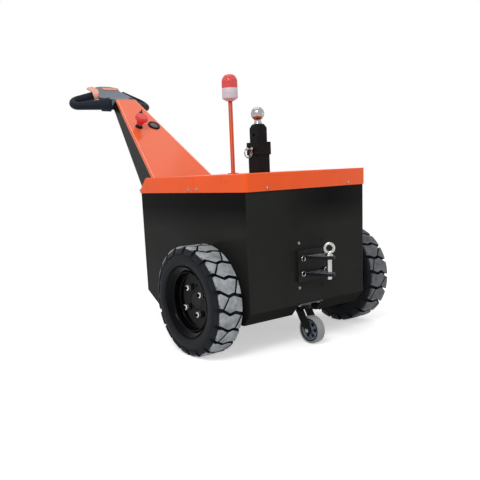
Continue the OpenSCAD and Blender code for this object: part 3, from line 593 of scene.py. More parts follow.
def shade_under_lid(material, dark):
    """Painted shadow: a darker band on the panels below the lids' edge, thinner across the hitch face; and painted
    shade on the undersides, which are also made rougher.
    """
    t = material.node_tree
    flank, across = ramp(t, along(t, "X"), 0.662, 0.655), ramp(t, along(t, "Y"), -0.16, 0.1)
    band = sums(t, "MULTIPLY", ramp(t, along(t, "Z"), 0.415, 0.5), sums(t, "MAXIMUM", flank, across))
    under = faces_towards(t, (0, 0, -1), 0.3, 0.5)
    # Darkens the band and the undersides: painted shadow and painted shade
    colour_over(material, dark, sums(t, "MAXIMUM", band, sums(t, "MULTIPLY", under, 0.45)))
    shader = t.nodes["Principled BSDF"]
    gloss = shader.inputs["Roughness"].links[0].from_socket
    feed(t, shader, {"Roughness": sums(t, "MULTIPLY_ADD", under, 0.6, gloss, clamp=True)})


def tread_dust_and_shade(material, dust, radius):
    """Pale worn faces on what stands as far out from the axle as the tread's top and its shoulders, with less of them
    on the right tyre as painted shade, where the body shades it.
    """
    t = material.node_tree
    axle = middle("tyre_left")
    inputs = {"Vector": place_on(t), "Location": (-axle.x, 0, -axle.z), "Scale": (1, 0, 1)}
    place = add(t, "Mapping", inputs).outputs["Vector"]
    high = ramp(t, vectors(t, "LENGTH", place)["Value"], (radius - 7) * MM, (radius - 5) * MM)
    outward = faces_towards(t, vectors(t, "NORMALIZE", place)["Vector"], 0.45, 0.62)
    share = ramp(t, noise(t, place_on(t), 38.0, 4.0, 0.65), 0.3, 0.6, 0.5, 1.0)
    # Painted shade: less of the pale colour on the right tyre, which the body shades
    wheel = ramp(t, along(t, "Y"), -0.2, 0.2, 1.0, 0.4)
    colour_over(material, dust, sums(t, "MULTIPLY", sums(t, "MULTIPLY", high, outward),
                                     sums(t, "MULTIPLY", share, wheel)))


def make_finishes(p):
    make_surface_group()
    make_peel_group()
    black = p.body_black
    panel = finish("Gloss black paint", black, 1.3, 0.2, 0.06, blotch=3.0, ior=1.11, peel=0.012)
    # Painted shadow below the lids and painted shade on the undersides of the black panels
    shade_under_lid(panel, lighter(black, 0.15))
    finish("Frame black paint", lighter(black, 0.35), lighter(black, 0.6), 0.35, 0.12, peel=0.03, ior=1.15)
    finish("Orange lid paint", p.lid_orange, 1.06, 0.3, 0.06, peel=0.012, ior=1.28)
    finish("Orange column paint", p.column_orange, 1.04, 0.16, 0.05, peel=0.008, ior=1.27)
    finish("Orange mast paint", lighter(p.lid_orange, 0.67), lighter(p.lid_orange, 0.74), 0.35, 0.06, ior=1.4)
    finish("Moulded black", p.grip_black, 1.5, 0.55, 0.1, grain=1400.0, depth=0.04, ior=1.18)
    finish("Cover grey", p.cover_grey, 1.2, 0.4, 0.1, grain=1400.0, depth=0.04)
    finish("Strip orange", (0.82, 0.26, 0.09), (0.86, 0.3, 0.12), 0.4, 0.06, depth=0.02)
    finish("Lever salmon", p.lever_salmon, 1.1, 0.38, 0.08, depth=0.02)
    finish("Button red", p.button_red, 1.1, 0.34, 0.06, peel=0.01, ior=1.3)
    finish("Chrome", (0.3, 0.3, 0.315), (0.38, 0.38, 0.395), 0.12, 0.08, 1.0, peel=0.01)
    finish("Bright steel", (0.75, 0.76, 0.77), (0.85, 0.85, 0.86), 0.42, 0.1, 1.0, 700.0, 0.02)
    finish("Pin steel", (0.4, 0.405, 0.39), (0.5, 0.5, 0.48), 0.26, 0.1, 1.0, 700.0, 0.02)
    finish("Zinc steel", (0.42, 0.43, 0.45), (0.55, 0.56, 0.57), 0.3, 0.15, 1.0, 600.0, 0.03)
    finish("Dark steel", (0.12, 0.12, 0.125), (0.3, 0.3, 0.31), 0.35, 0.15, 1.0, 600.0, 0.03)
    cast = dict(grain=350.0, ior=1.2)
    finish("Cast black", (0.008, 0.008, 0.009), (0.015, 0.0145, 0.0145), 0.42, 0.15, depth=0.12, **cast)
    finish("Caster steel", (0.02, 0.021, 0.023), (0.05, 0.05, 0.054), 0.4, 0.15, grain=350.0, depth=0.06)
    finish("Battery case", (0.02, 0.02, 0.023), (0.03, 0.03, 0.033), 0.5, 0.1, depth=0.05)
    finish("Rim black", (0.0015, 0.0015, 0.002), (0.0028, 0.0028, 0.0034), 0.07, 0.03, peel=0.012, ior=1.14)
    clevis = finish("Clevis black", lighter(black, 0.6), lighter(black, 0.85), 0.3, 0.1, depth=0.05, **cast)
    # Pale bluish upward faces of the clevis: dust, and painted light from above
    dust_and_top_light(clevis, (0.2, 0.23, 0.27))
    # Paler orange of the column's turned edges: painted highlight
    finish("Turned edge highlight", (0.95, 0.34, 0.24), (1.0, 0.42, 0.3), 0.2, 0.05, ior=1.6)
    finish("Caster hub", (0.095, 0.13, 0.175), (0.135, 0.175, 0.225), 0.42, 0.1, depth=0.03)
    finish("Caster rubber", (0.24, 0.25, 0.255), (0.31, 0.315, 0.32), 0.6, 0.1, grain=500.0, depth=0.05)
    finish("Beacon grey", (0.62, 0.565, 0.625), (0.68, 0.62, 0.685), 0.4, 0.1, depth=0.02)
    finish("Gauge black", (0.01, 0.006, 0.007), (0.016, 0.009, 0.011), 0.3, 0.05, ior=1.15)
    finish("Gauge glass", (0.09, 0.06, 0.075), (0.15, 0.11, 0.13), 0.15, 0.04, blotch=40.0, ior=1.2)
    finish("Beacon red", p.lens_red, 1.06, 0.2, 0.05, clear=0.3)
    finish("Lamp yellow", (0.85, 0.62, 0.3), (0.9, 0.7, 0.4), 0.3, 0.1)
    tyre = finish("Tyre rubber", p.tyre_black, 1.6, 0.58, 0.12, grain=500.0, depth=0.08, ior=1.2)
    # Dust on the tread, with painted shade on the right tyre
    tread_dust_and_shade(tyre, p.tread_dust, TREAD_TOP)


# The finish of each slot that isn't named like its finish
SLOT_FINISH = {
    "body_black": "Gloss black paint", "lid_orange": "Orange lid paint", "column_orange": "Orange column paint",
    "frame_black": "Frame black paint", "plastic_black": "Moulded black", "stop_red": "Button red",
    "steel": "Zinc steel", "tyre": "Tyre rubber",
}


# ---------------------------------------------------------------- stage

# Camera fitted to the photograph: place from the hitch face in mm, angles in radians, focal length and centre in pixels
EYE = (1567.767, -1567.121, 616.069)
YAW, PITCH, ROLL = 2.50950339, 0.192059228, -0.0488045661
FOCAL, CENTRE_X, CENTRE_Y, PHOTO = 630.357, 215.864, 295.447, 480.0
SENSOR = 36.0


def make_camera():
    d = Vector((math.cos(YAW) * math.cos(PITCH), math.sin(YAW) * math.cos(PITCH), -math.sin(PITCH)))
    level = Vector((math.sin(YAW), -math.cos(YAW), 0.0))
    up = level.cross(d)
    right = level * math.cos(ROLL) + up * math.sin(ROLL)
    top = up * math.cos(ROLL) - level * math.sin(ROLL)
    turn = Matrix((right, top, -d)).transposed().to_4x4()
    bpy.ops.object.camera_add()
    cam = bpy.context.object
    cam.name = "Camera"
    cam.matrix_world = Matrix.Translation(at(*EYE)) @ turn
    cam.data.sensor_width = SENSOR
    cam.data.lens = FOCAL * SENSOR / PHOTO
    cam.data.shift_x = (PHOTO / 2 - CENTRE_X) / PHOTO
    cam.data.shift_y = (CENTRE_Y - PHOTO / 2) / PHOTO
    cam.data.clip_end = 100
    bpy.context.scene.camera = cam


def area_light(name, place, target, size, power):
    """A square lamp that looks at a target."""
    bpy.ops.object.light_add(type="AREA", location=place)
    o = bpy.context.object
    o.name = name
    o.data.shape = "RECTANGLE"
    o.data.size = o.data.size_y = size
    o.data.energy = power
    o.rotation_euler = (Vector(target) - Vector(place)).to_track_quat("-Z", "Y").to_euler()


def seen_ray(tree):
    """One for camera, glossy and transmitted rays, which see the plain background."""
    path = add(tree, "LightPath", {}).outputs
    seen = sums(tree, "MAXIMUM", path["Is Camera Ray"], path["Is Glossy Ray"])
    return sums(tree, "MAXIMUM", seen, path["Is Transmission Ray"])


def make_floor_finish(radius):
    """A pale floor that keeps the shadow and fades out into the white background."""
    m = bpy.data.materials.new("Floor")
    m.use_nodes = True
    t = m.node_tree
    t.nodes.remove(t.nodes["Principled BSDF"])
    tone = mixed(t, noise(t, place_on(t), 30.0, 3.0, 0.5), (0.9, 0.9, 0.9, 1), (0.915, 0.915, 0.915, 1))
    pale = add(t, "BsdfDiffuse", {"Color": tone})
    lift = add(t, "Emission", {"Strength": sums(t, "MULTIPLY", seen_ray(t), 0.5)})
    both = add(t, "AddShader", {0: pale.outputs[0], 1: lift.outputs[0]})
    fade = ramp(t, vectors(t, "LENGTH", place_on(t))["Value"], 1.2, radius * 0.6)
    clear = add(t, "BsdfTransparent", {})
    mix = add(t, "MixShader", {0: fade, 1: both.outputs[0], 2: clear.outputs[0]})
    feed(t, t.nodes["Material Output"], {"Surface": mix.outputs[0]})


class TUG_OT_stage(bpy.types.Operator):
    """Set up the camera, the pale floor, the white background and the studio lamps"""
    bl_idname = "tug.stage"
    bl_label = "Stage"

    def execute(self, context):
        p = context.scene.tug_stage
        object_mode()
        bpy.ops.object.select_all(action="DESELECT")
        make_camera()
        context.scene.world = bpy.data.worlds.new("Studio")
        context.scene.world.use_nodes = True
        t = context.scene.world.node_tree
        soft = t.nodes["Background"]
        feed(t, soft, {"Color": (1, 1, 1, 1), "Strength": p.room_light})
        white = add(t, "Background", {"Color": (1, 1, 1, 1), "Strength": 1.0})
        mix = add(t, "MixShader", {0: seen_ray(t), 1: soft.outputs[0], 2: white.outputs[0]})
        feed(t, t.nodes["World Output"], {"Surface": mix.outputs[0]})
        bpy.ops.mesh.primitive_circle_add(vertices=96, radius=p.floor_radius, fill_type="NGON",
                                          location=(0, 0, -0.0005))
        floor = bpy.context.object
        floor.name = "Floor"
        done(floor)
        make_floor_finish(p.floor_radius)
        finish_with(floor, "Floor")
        area_light("Key_lamp", (2.0, -2.4, 3.0), (0.1, 0, 0.4), 1.5, p.key_power)
        area_light("Fill_lamp", (2.4, 3.0, 0.7), (0.6, 0, 0.35), 1.0, p.fill_power)
        area_light("Top_lamp", (-0.8, 0.4, 4.0), (0.0, 0, 0.4), 3.0, p.top_power)
        context.scene.view_settings.view_transform = "Standard"
        return {"FINISHED"}


class TUG_OT_finishes(bpy.types.Operator):
    """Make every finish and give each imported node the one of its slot"""
    bl_idname = "tug.finishes"
    bl_label = "Finishes"

    def execute(self, context):
        make_finishes(context.scene.tug_paint)
        for name, obj in frame["nodes"].items():
            finish_with(obj, finish_of(name))
        return {"FINISHED"}


# ---------------------------------------------------------------- pieces


class TUG_OT_body(bpy.types.Operator):
    """Round the panels, floor, caster trays and inner units, and set the rivets and threaded inserts"""
    bl_idname = "tug.body"
    bl_label = "Body"

    def execute(self, context):
        p = context.scene.tug_body
        for node in ("side_panel_left", "side_panel_right", "hitch_panel", "handle_panel", "floor_pan",
                     "caster_shelves"):
            rounded_copy(node, p.panel_round / MM)
        for node in ("drive_unit", "battery", "axle_tube_left", "axle_tube_right"):
            rounded_copy(node, p.unit_round / MM)
        fold = Vector((-0.864, 0, -1.0)).normalized()
        out = Vector((-fold.z, 0, fold.x))
        rivets = []
        for side in (-1, 1):
            start = at(0, side * RIVETS_FROM, FOLD_Z) + fold * 5 * MM
            rivet = lathe("rivet", [(0, 0), (1.6, 0), (1.536, 0.28), (1.28, 0.6), (0.72, 0.768), (0, 0.8)],
                          start, out, 12)
            count = int((RIVETS_TO - RIVETS_FROM) * MM / p.rivet_pitch)
            moves = [Matrix.Translation((0, side * p.rivet_pitch * k, 0)) for k in range(1, count + 1)]
            rivets.append(copies(shade(rivet, 60), moves))
        rides(join("fold_rivets", rivets), "hitch_panel", "Cast black")
        places = hitch_places(SCREW_DY, SPARE_DZ)
        # The same threaded inserts, chrome on the left and black on the right: the right ones' black is painted shade
        # in their holes
        for hand, tone, spots in (("left", "Chrome", places[:2]), ("right", "Cast black", places[2:])):
            inserts = []
            for spot in spots:
                inserts.append(lathe("insert", [
                    (4.4, -9), (4.4, -0.3), (4, 0.3), (3, 0.3), (2.6, -0.3), (2.6, -9), (4.4, -9)
                ], spot, X_AXIS, 24))
                inserts.append(lathe("collar", [(5.2, -9), (5.2, -0.6), (4.4, -0.6), (4.4, -9), (5.2, -9)],
                                     spot, X_AXIS, 24))
            rides(join("hitch_inserts_" + hand, inserts), "hitch_panel", tone)
        return {"FINISHED"}


class TUG_OT_lids(bpy.types.Operator):
    """Round the two lids and set the screws in their flanges"""
    bl_idname = "tug.lids"
    bl_label = "Lids"

    def execute(self, context):
        p = context.scene.tug_body
        for node in ("lid_hitch", "lid_handle"):
            rounded_copy(node, p.lid_round / MM)
        spots = [(at(x, side * FLANK_Y, FLANK_Z), (0, side, 0)) for x in FLANK_SCREWS_X for side in (-1, 1)]
        spots += [(at(FRONT_X, y, FRONT_Z), X_AXIS) for y in FRONT_SCREWS_Y]
        screw_set("lid_screws", spots, p.screw_radius / MM, "lid_hitch")
        return {"FINISHED"}


class TUG_OT_tyres(bpy.types.Operator):
    """Spin the carcass of each drive tyre and set the tread blocks round it"""
    bl_idname = "tug.tyres"
    bl_label = "Drive tyres"

    def execute(self, context):
        half = [
            (100, -36), (121, -42), (124.4, -42.6), (125.8, -50), (127.8, -53.8), (130, -55.2), (131.5, -54.3),
            (133, -54.3), (134.5, -55.3), (146, -55.5), (157, -55.5), (159.5, -54.8), (161, -53), (163, -52.2),
            (166, -51.6), (169, -50), (172, -47), (175, -42.5), (177, -36)
        ]
        for node, side in (("tyre_left", -1), ("tyre_right", 1)):
            centre = middle(node)
            carcass = shade(lathe("carcass", both_sides(half), centre, (0, side, 0), 128))
            stand_for(join(node + "_blocks", [carcass, tread(centre, side)]), node)
        return {"FINISHED"}


class TUG_OT_rims(bpy.types.Operator):
    """Spin the rims with their rolled edges, and set the wheel nuts on the studs"""
    bl_idname = "tug.rims"
    bl_label = "Rims and hubs"

    def execute(self, context):
        lip = [(97.2, 24), (98.6, 30.5), (101.5, 36.5), (106, 41.6), (111, 45.4), (115.6, 48.6), (119.5, 50.5),
               (121.6, 49.8), (122, 47.8), (121, 46.0), (117.6, 44.6), (113, 41), (108, 36), (104.4, 30), (102.4, 23)]
        face, back = DISC_FACE, DISC_FACE - 7
        outline = [(30, back), (30, face - 0.9), (30.9, face), (91.4, face), (94.2, face + 0.8), (96, face + 2.6),
                   (96.5, face + 5), (96.5, 19), *lip, *[(r, -h) for r, h in reversed(lip)],
                   (96.5, -19), (96.5, back - 8), (94, back - 3), (90, back), (30, back)]
        wide = context.scene.tug_wheels.nut_radius / MM
        for end, side in (("left", -1), ("right", 1)):
            centre, axis = middle("tyre_" + end), Vector((0, side, 0))
            stand_for(shade(lathe("rim_%s_spun" % end, outline, centre, axis, 128), 40), "rim_" + end)
            rounded_copy("wheel_hub_" + end, 0.8, finish="Cast black")
            washers, nuts = [], []
            for k in range(4):
                a = math.radians(STUD_TURN + 90 * k)
                spoke = Vector((math.cos(a), 0, -side * math.sin(a)))
                place = centre + spoke * STUD_CIRCLE * MM + axis * (DISC_FACE * MM)
                washers.append(lathe("washer", [(6, 0), (13, 0), (13, 1.6), (11.6, 2), (11.6, 7), (6, 7), (6, 0)],
                                     place, axis, 32))
                nut = lathe("nut", [(6, 7), (wide, 7), (wide, 15.5), (wide - 1.4, 17.4), (7.5, 18), (6, 17), (6, 7)],
                            place, axis, 6)
                soften(nut, 0.5, 2, 20, 30)
                nuts += [nut, lathe("bolt", [(0, 9), (5.9, 9), (5.9, 21), (5, 22), (0, 22)], place, axis, 20)]
            rides(shade(join("wheel_washers_" + end, washers), 30), "rim_" + end, "Cast black")
            rides(shade(join("wheel_nuts_" + end, nuts), 30), "rim_" + end, "Bright steel")
        return {"FINISHED"}


class TUG_OT_casters(bpy.types.Operator):
    """Model the caster wheels and round their forks and plates"""
    bl_idname = "tug.casters"
    bl_label = "Casters"

    def execute(self, context):
        rounded_copy("caster_plates", 0.9, finish="Caster steel")
        bolts = []
        for end, mid_x in CASTER_X.items():
            fork, wheel, tyre = "caster_fork_" + end, "caster_wheel_" + end, "caster_tyre_" + end
            rounded_copy(fork, 1.2)
            c = middle(tyre)
            pocket = c + Vector((22.4 * MM, 0, 0))
            hub = lathe(wheel + "_spun", both_sides([
                (5.1, 18.4), (12.6, 18.4), (14, 17), (14.4, 9), (29, 8), (32, 12.5), (34, 13.6), (36.4, 13.6)
            ]), c, (0, -1, 0), 72)
            punch = lathe("punch", [(0, -30), (7.8, -30), (7.8, 30), (0, 30)], pocket, Y_AXIS, 24)
            punch = copies(punch, around(c, Y_AXIS, 6))
            modify(hub, "BOOLEAN", operation="DIFFERENCE", solver="EXACT", object=punch)
            bpy.data.objects.remove(punch)
            stand_for(soften(hub, 0.6, 2, 40), wheel)
            # Discs that close the spokes' holes to shallow pockets, in near-black: painted shade in the pockets
            floor = lathe("floor", [(0, -6.8), (7.7, -6.8), (7.7, 6.8), (0, 6.8)], pocket, Y_AXIS, 24)
            shaded_floors = join(wheel + "_pocket_painted_shade", [copies(floor, around(c, Y_AXIS, 6))])
            rides(shade(shaded_floors, 30), wheel, "Gauge black")
            band = lathe(wheel + "_band", both_sides([(36, -14.4), (41.6, -15), (42.6, -14)]), c, (0, -1, 0), 72)
            rides(shade(band), wheel, "Moulded black")
            ring = lathe(tyre + "_spun", both_sides([
                (42, -15.2), (46.5, -15.8), (48.6, -14.4), (49.6, -11.5), (50, -7)
            ]), c, (0, -1, 0), 96)
            stand_for(shade(ring, 50), tyre)
            for side, hand in ((-1, "left"), (1, "right")):
                place, axis = c + Vector((0, side * 23 * MM, 0)), (0, side, 0)
                nut = lathe("nut", [(4.5, 0), (8.6, 0), (8.6, 4.8), (7.6, 5.8), (4.5, 5.8), (4.5, 0)], place, axis, 6)
                shank = lathe("end", [(0, 0), (4.6, 0), (4.6, 6.6), (3.8, 7.4), (0, 7.4)], place, axis, 20)
                nut = soften(join(fork + "_nut_" + hand, [nut, shank]), 0.3, 1, 30, 30)
                rides(nut, fork, "Chrome")
            for dx in (-BOLT_DX, BOLT_DX):
                for y in (-BOLT_DY, BOLT_DY):
                    bolt = lathe("bolt", [(0, 0), (8.4, 0), (8.4, 1.2), (6.6, 1.3), (6.6, 5.2), (5.8, 6), (0, 6)],
                                 at(mid_x + dx, y, PLATE_Z), (0, 0, -1), 6)
                    bolts.append(soften(bolt, 0.3, 1, 30, 30))
        rides(join("caster_bolts", bolts), "caster_plates", "Dark steel")
        return {"FINISHED"}


class TUG_OT_column(bpy.types.Operator):
    """Round the sheets of the control column and set its small screws and the turned edges along its sides, coloured
    paler as a painted highlight
    """
    bl_idname = "tug.column"
    bl_label = "Control column"

    def execute(self, context):
        p = context.scene.tug_head
        for node in ("column_sheet", "column_case"):
            rounded_copy(node, p.sheet_round / MM)
        spots = [(column_point(9, side * (column_side(9) + 0.2), -6), (0, side, 0)) for side in (-1, 1)]
        screw_set("column_screws", spots, 4.6, "column_sheet")
        inset = 0.7 + p.turned_edge / MM
        beads = []
        for side in (-1, 1):
            line = [column_point(x, side * (column_side(x) - inset), -0.4) for x in (2, 200, 400, 600, 800)]
            beads.append(rod("bead", line, [1.8] * len(line), 10))
        # The beads' paler orange is a painted highlight on the turned edges
        rides(join("turned_edges", beads), "column_sheet", "Turned edge highlight")
        return {"FINISHED"}


class TUG_OT_head(bpy.types.Operator):
    """Soften the head's housing as a moulding, and round its cover and strip"""
    bl_idname = "tug.head"
    bl_label = "Column head"

    def execute(self, context):
        p = context.scene.tug_head
        mould(rounded_copy("head_housing", 0, suffix="moulded"), p.housing_voxel / MM, 22)
        rounded_copy("head_cover", p.cover_round / MM)
        rounded_copy("head_strip", 0.5)
        return {"FINISHED"}


class TUG_OT_grips(bpy.types.Operator):
    """Draw the loop grips as smooth tapering tubes and soften the thumb lever"""
    bl_idname = "tug.grips"
    bl_label = "Grips and lever"

    def execute(self, context):
        r = context.scene.tug_head.grip_radius / MM
        wide, swing = 28, 34
        turn = math.radians(26.3)
        bend = Vector((113, 98, 0))
        near, far = Vector((-6, 5, 0)), Vector((12, 124, 0))
        near_end = bend + Vector((math.sin(turn), -math.cos(turn), 0)) * swing
        far_end = bend + Vector((0, swing, 0))
        path = [(near.lerp(near_end, k / 9), wide - (wide - r) * k / 9) for k in range(9)]
        for k in range(15):
            a = turn - math.pi / 2 + (math.pi - turn) * k / 14
            path.append((bend + Vector((math.cos(a), math.sin(a), 0)) * swing, r))
        path += [(far_end.lerp(far, k / 6), r + 3 * k / 6) for k in range(1, 7)]
        for node, side in (("grip_left", 1), ("grip_right", -1)):
            tube = rod(node + "_tube", [grip_point(q, side) for q, _ in path], [w for _, w in path], 32)
            stand_for(shade(tube, 50), node)
        mould(rounded_copy("thumb_lever", 0, suffix="soft"), 1.3, 9)
        return {"FINISHED"}


class TUG_OT_controls(bpy.types.Operator):
    """Spin the stop button and the charge gauge, and make the key switch"""
    bl_idname = "tug.controls"
    bl_label = "Controls"

    def execute(self, context):
        up = column_point(0, 0, 1) - column_point(0, 0, 0)
        place = column_point(*BUTTON_AT, 0)
        button = lathe("stop_button_head", [
            (0, 14), (13.4, 14), (14.2, 15.5), (15.6, 22), (18.6, 32), (21, 37.4), (25.5, 38.6), (28.4, 40.6),
            (29.5, 43.8), (29.5, 48.5), (28.8, 53), (27, 56.6), (24.4, 58.4), (22, 58.4), (20.4, 57.6), (14, 58.8),
            (0, 59.8)
        ], place, up, 64)
        stand_for(shade(button, 50), "stop_button")
        collar = lathe("stop_button_collar", [
            (0, 0), (17.5, 0), (17.5, 1.6), (15.6, 3), (14.6, 4), (14.6, 11.4), (13.6, 12.6), (13.6, 14.2), (0, 14.2)
        ], place, up, 48)
        rides(shade(collar), "stop_button", "Moulded black")
        x, y = BUTTON_AT
        spots = [(column_point(x - 2, y + dy, 0), up) for dy in (-23, 23)]
        screw_set("stop_button_screws", spots, 3.6, "column_sheet")
        ring = lathe("key_ring", [(0, 0), (9, 0), (9, 2), (8, 3.6), (6, 4), (5.6, 3.4), (0, 3.4)],
                     column_point(*KEY_AT, 0), up, 40)
        x, y = KEY_AT
        bow = [(-2, 3), (-2, 7), (-3.4, 8.5), (-4, 11), (-3.8, 16), (-2.6, 18.4), (0, 19), (2.6, 18.4), (3.8, 16),
               (4, 11), (3.4, 8.5), (2, 7), (2, 3)]
        key = plate("key", [column_point(x + a, y - 1.25, b) for a, b in bow], (0, 2.5 * MM, 0))
        stand_for(shade(join("key_switch_spun", [ring, soften(key, 0.5)])), "key_switch")
        place = column_point(*GAUGE_AT, 0)
        bezel = lathe("charge_gauge_bezel", [
            (0, 0), (29, 0), (29, 3.6), (28.2, 5.2), (26.8, 6), (20.6, 6), (19, 5), (18.4, 3.2), (0, 3.2)
        ], place, up, 72)
        stand_for(shade(bezel, 40), "charge_gauge")
        face = lathe("charge_gauge_face", [(0, 3), (18.6, 3), (18.6, 4), (16, 4.3), (0, 4.5)], place, up, 72)
        rides(shade(face), "charge_gauge", "Gauge glass")
        return {"FINISHED"}


class TUG_OT_beacon(bpy.types.Operator):
    """Spin the mast, the beacon's base and its ribbed lens"""
    bl_idname = "tug.beacon"
    bl_label = "Beacon"

    def execute(self, context):
        mast = lathe("lamp_mast_spun", [
            (0, 0), (22, 0), (22, 2.2), (21.2, 3), (11.5, 3), (9.4, 3.8), (8.25, 6), (8.25, 274), (7.6, 275), (0, 275)
        ], at(MAST_X, 0, MAST_FOOT_Z), Z_AXIS, 40)
        stand_for(shade(mast), "lamp_mast", "Orange mast paint")
        low = at(MAST_X, 0, BEACON_Z)
        base = lathe("beacon_base_spun", [
            (0, 8.6), (28.6, 8.6), (30.2, 9.6), (30.5, 11), (30.5, 25), (29.9, 25.4), (29.9, 26.4), (30.5, 26.8),
            (30.5, 45.6), (29.8, 47.4), (28.6, 48), (0, 48)
        ], low, Z_AXIS, 64)
        stand_for(shade(base), "beacon_base")
        cup = lathe("beacon_foot", [(0, 0), (15.2, 0), (16, 0.8), (28.2, 8.2), (28.4, 9), (0, 9)], low, Z_AXIS, 64)
        rides(shade(cup), "beacon_base", "Beacon grey")
        low = at(MAST_X, 0, LENS_Z)
        # The lens: a round dome over a straight wall, and ribs half sunk in it
        wide, inside, wall, line = 29.3, 26.6, 22.5, 29.2
        outer = [(wide, 0.2), (wide, wall)] + arc(wide, range(6, 91, 6), wall)
        inner = arc(inside, range(90, -1, -6), wall) + [(inside, 0.2)]
        lens = shade(lathe("beacon_lens_shell", outer + inner + outer[:1], low, Z_AXIS, 72), 50)
        rib = [(line, 1.5), (line, 12)] + arc(line, range(0, 61, 10), wall)
        rib_radius = context.scene.tug_head.rib_radius / MM
        rib = rod("rib", [low + Vector((r, 0, z)) * MM for r, z in rib], [rib_radius] * len(rib), 8)
        ribs = copies(shade(rib, 60), around(low, Z_AXIS, 28))
        stand_for(join("beacon_lens_ribbed", [lens, ribs]), "beacon_lens")
        lamp = lathe("beacon_lamp", [
            (0, 0), (20, 0), (20, 3), (9, 5), (8, 8), (8, 24), (11, 27), (11, 33), (6.5, 37), (0, 38)
        ], low, Z_AXIS, 40)
        rides(shade(lamp), "beacon_lens", "Lamp yellow")
        return {"FINISHED"}


class TUG_OT_tow_ball(bpy.types.Operator):
    """Round the receiver and its bar, and spin the tow ball and the pull pin"""
    bl_idname = "tug.tow_ball"
    bl_label = "Tow ball"

    def execute(self, context):
        p = context.scene.tug_towing
        rounded_copy("receiver", p.tube_round / MM)
        rounded_copy("ball_bar", p.bar_round / MM)
        outline = [(0, -37), (15.2, -37), (16, -36.2), (16, -34.5), (14.6, -32.5), (13.2, -29), (12.6, -25), (13, -22),
                   *arc(25, range(-52, 79, 6)), (4.4, 24.6), (0, 24.6)]
        ball = lathe("tow_ball_spun", outline, at(RECEIVER_X, 0, BALL_Z), Z_AXIS, 72)
        stand_for(shade(ball, 40), "tow_ball")
        pin = lathe("pull_pin_spun", [
            (0, 23.4), (5.2, 23.4), (5.2, 33), (7.4, 33), (7.4, 36), (6, 37), (5.2, 38), (5.2, 52), (6.6, 53),
            (6.6, 57), (5.6, 58), (0, 58)
        ], at(RECEIVER_X, 0, PULL_PIN_Z), (0, -1, 0), 32)
        loop = hoop(17, 1.6, 12)
        rings = [lathe("pull_ring", loop, at(RECEIVER_X + dx, -54, PULL_PIN_Z + dz), axis, 64)
                 for dx, dz, axis in ((0, -14, (1, 0.25, 0)), (3, -13.5, (1, -0.08, 0.1)))]
        stand_for(shade(join("pull_pin_ringed", [pin, *rings]), 40), "pull_pin")
        return {"FINISHED"}


class TUG_OT_clevis(bpy.types.Operator):
    """Round the clevis, and spin its screws and the tow pin with its eye"""
    bl_idname = "tug.clevis"
    bl_label = "Clevis and tow pin"

    def execute(self, context):
        p = context.scene.tug_towing
        rounded_copy("clevis", p.cast_round / MM, 3, "Clevis black")
        places = hitch_places(SCREW_DY, SCREW_DZ)
        screws = [lathe("socket_screw", [
            (0, 14.6), (6.4, 14.6), (6.4, 20.8), (7.2, 22), (9.2, 22), (10, 21), (10, 12), (0, 12)
        ], place, X_AXIS, 36) for place in places]
        stand_for(shade(join("clevis_screws_spun", screws)), "clevis_screws", "Chrome")
        # Near-black discs at the floors of the screws' sockets: painted shade
        sockets = [lathe("socket", [(0, 14.5), (6.3, 14.5), (6.3, 15.6), (0, 15.2)], place, X_AXIS, 24)
                   for place in places]
        rides(join("clevis_socket_shade", sockets), "clevis_screws", "Gauge black")
        low, top = HITCH_Z - EAR_DZ - EAR_T - 12, HITCH_Z + EAR_DZ + EAR_T
        pin = lathe("pin", [
            (0, low), (6.6, low), (8.2, low + 1), (9, low + 3), (9, top), (12.4, top), (13, top + 0.8), (13, top + 4),
            (12, top + 5.6), (9.4, top + 8), (7.6, top + 11), (7, top + 14), (0, top + 15)
        ], at(TOW_PIN_X, 0, 0), Z_AXIS, 48)
        eye = lathe("eye", hoop(p.eye_radius / MM, p.eye_tube / MM, 20), at(TOW_PIN_X, 0, top + 27.5), (1, -1, 0), 64)
        stand_for(shade(join("tow_pin_eyed", [pin, eye]), 40), "tow_pin", "Pin steel")
        return {"FINISHED"}


OPERATORS = (
    TUG_OT_finishes, TUG_OT_stage, TUG_OT_body, TUG_OT_lids, TUG_OT_tyres, TUG_OT_rims, TUG_OT_casters, TUG_OT_column,
    TUG_OT_head, TUG_OT_grips, TUG_OT_controls, TUG_OT_beacon, TUG_OT_tow_ball, TUG_OT_clevis,
)


# ---------------------------------------------------------------- sizes and colours for the user


def size(name, description, mm):
    return bpy.props.FloatProperty(name=name, description=description, default=mm * MM, min=0.0, unit="LENGTH",
                                   subtype="DISTANCE", precision=4)


def power(name, description, watts):
    return bpy.props.FloatProperty(name=name, description=description, default=watts, min=0.0, unit="POWER")


def paint(name, description, color):
    return bpy.props.FloatVectorProperty(name=name, description=description, default=color, size=3, min=0.0, max=1.0,
                                         subtype="COLOR")


class TUG_PG_body(bpy.types.PropertyGroup):
    """Sizes of the body's finer forms"""
    panel_round: size("Panel edge", "Rounding of the sheet panels' edges", 0.6)
    unit_round: size("Unit edge", "Rounding of the inner units' edges", 3.0)
    lid_round: size("Lid edge", "Rounding of the lids' edges", 0.9)
    screw_radius: size("Lid screw", "Radius of the screws in the lid flanges", 5.2)
    rivet_pitch: size("Rivet pitch", "Distance between the rivets on the folded strip", 22.0)


class TUG_PG_wheels(bpy.types.PropertyGroup):
    """Sizes of the wheels' finer forms"""
    block_round: size("Block edge", "Rounding of the tread blocks' edges", 1.5)
    groove_half: size("Half groove", "Half the width of the grooves across the tread", 4.8)
    split_half: size("Half split", "Half the width of the grooves along the tread", 2.6)
    groove_end: size("Half groove end", "Half the width of those grooves at the shoulders", 6.2)
    nut_radius: size("Wheel nut", "Radius over the corners of the wheel nuts", 10.6)


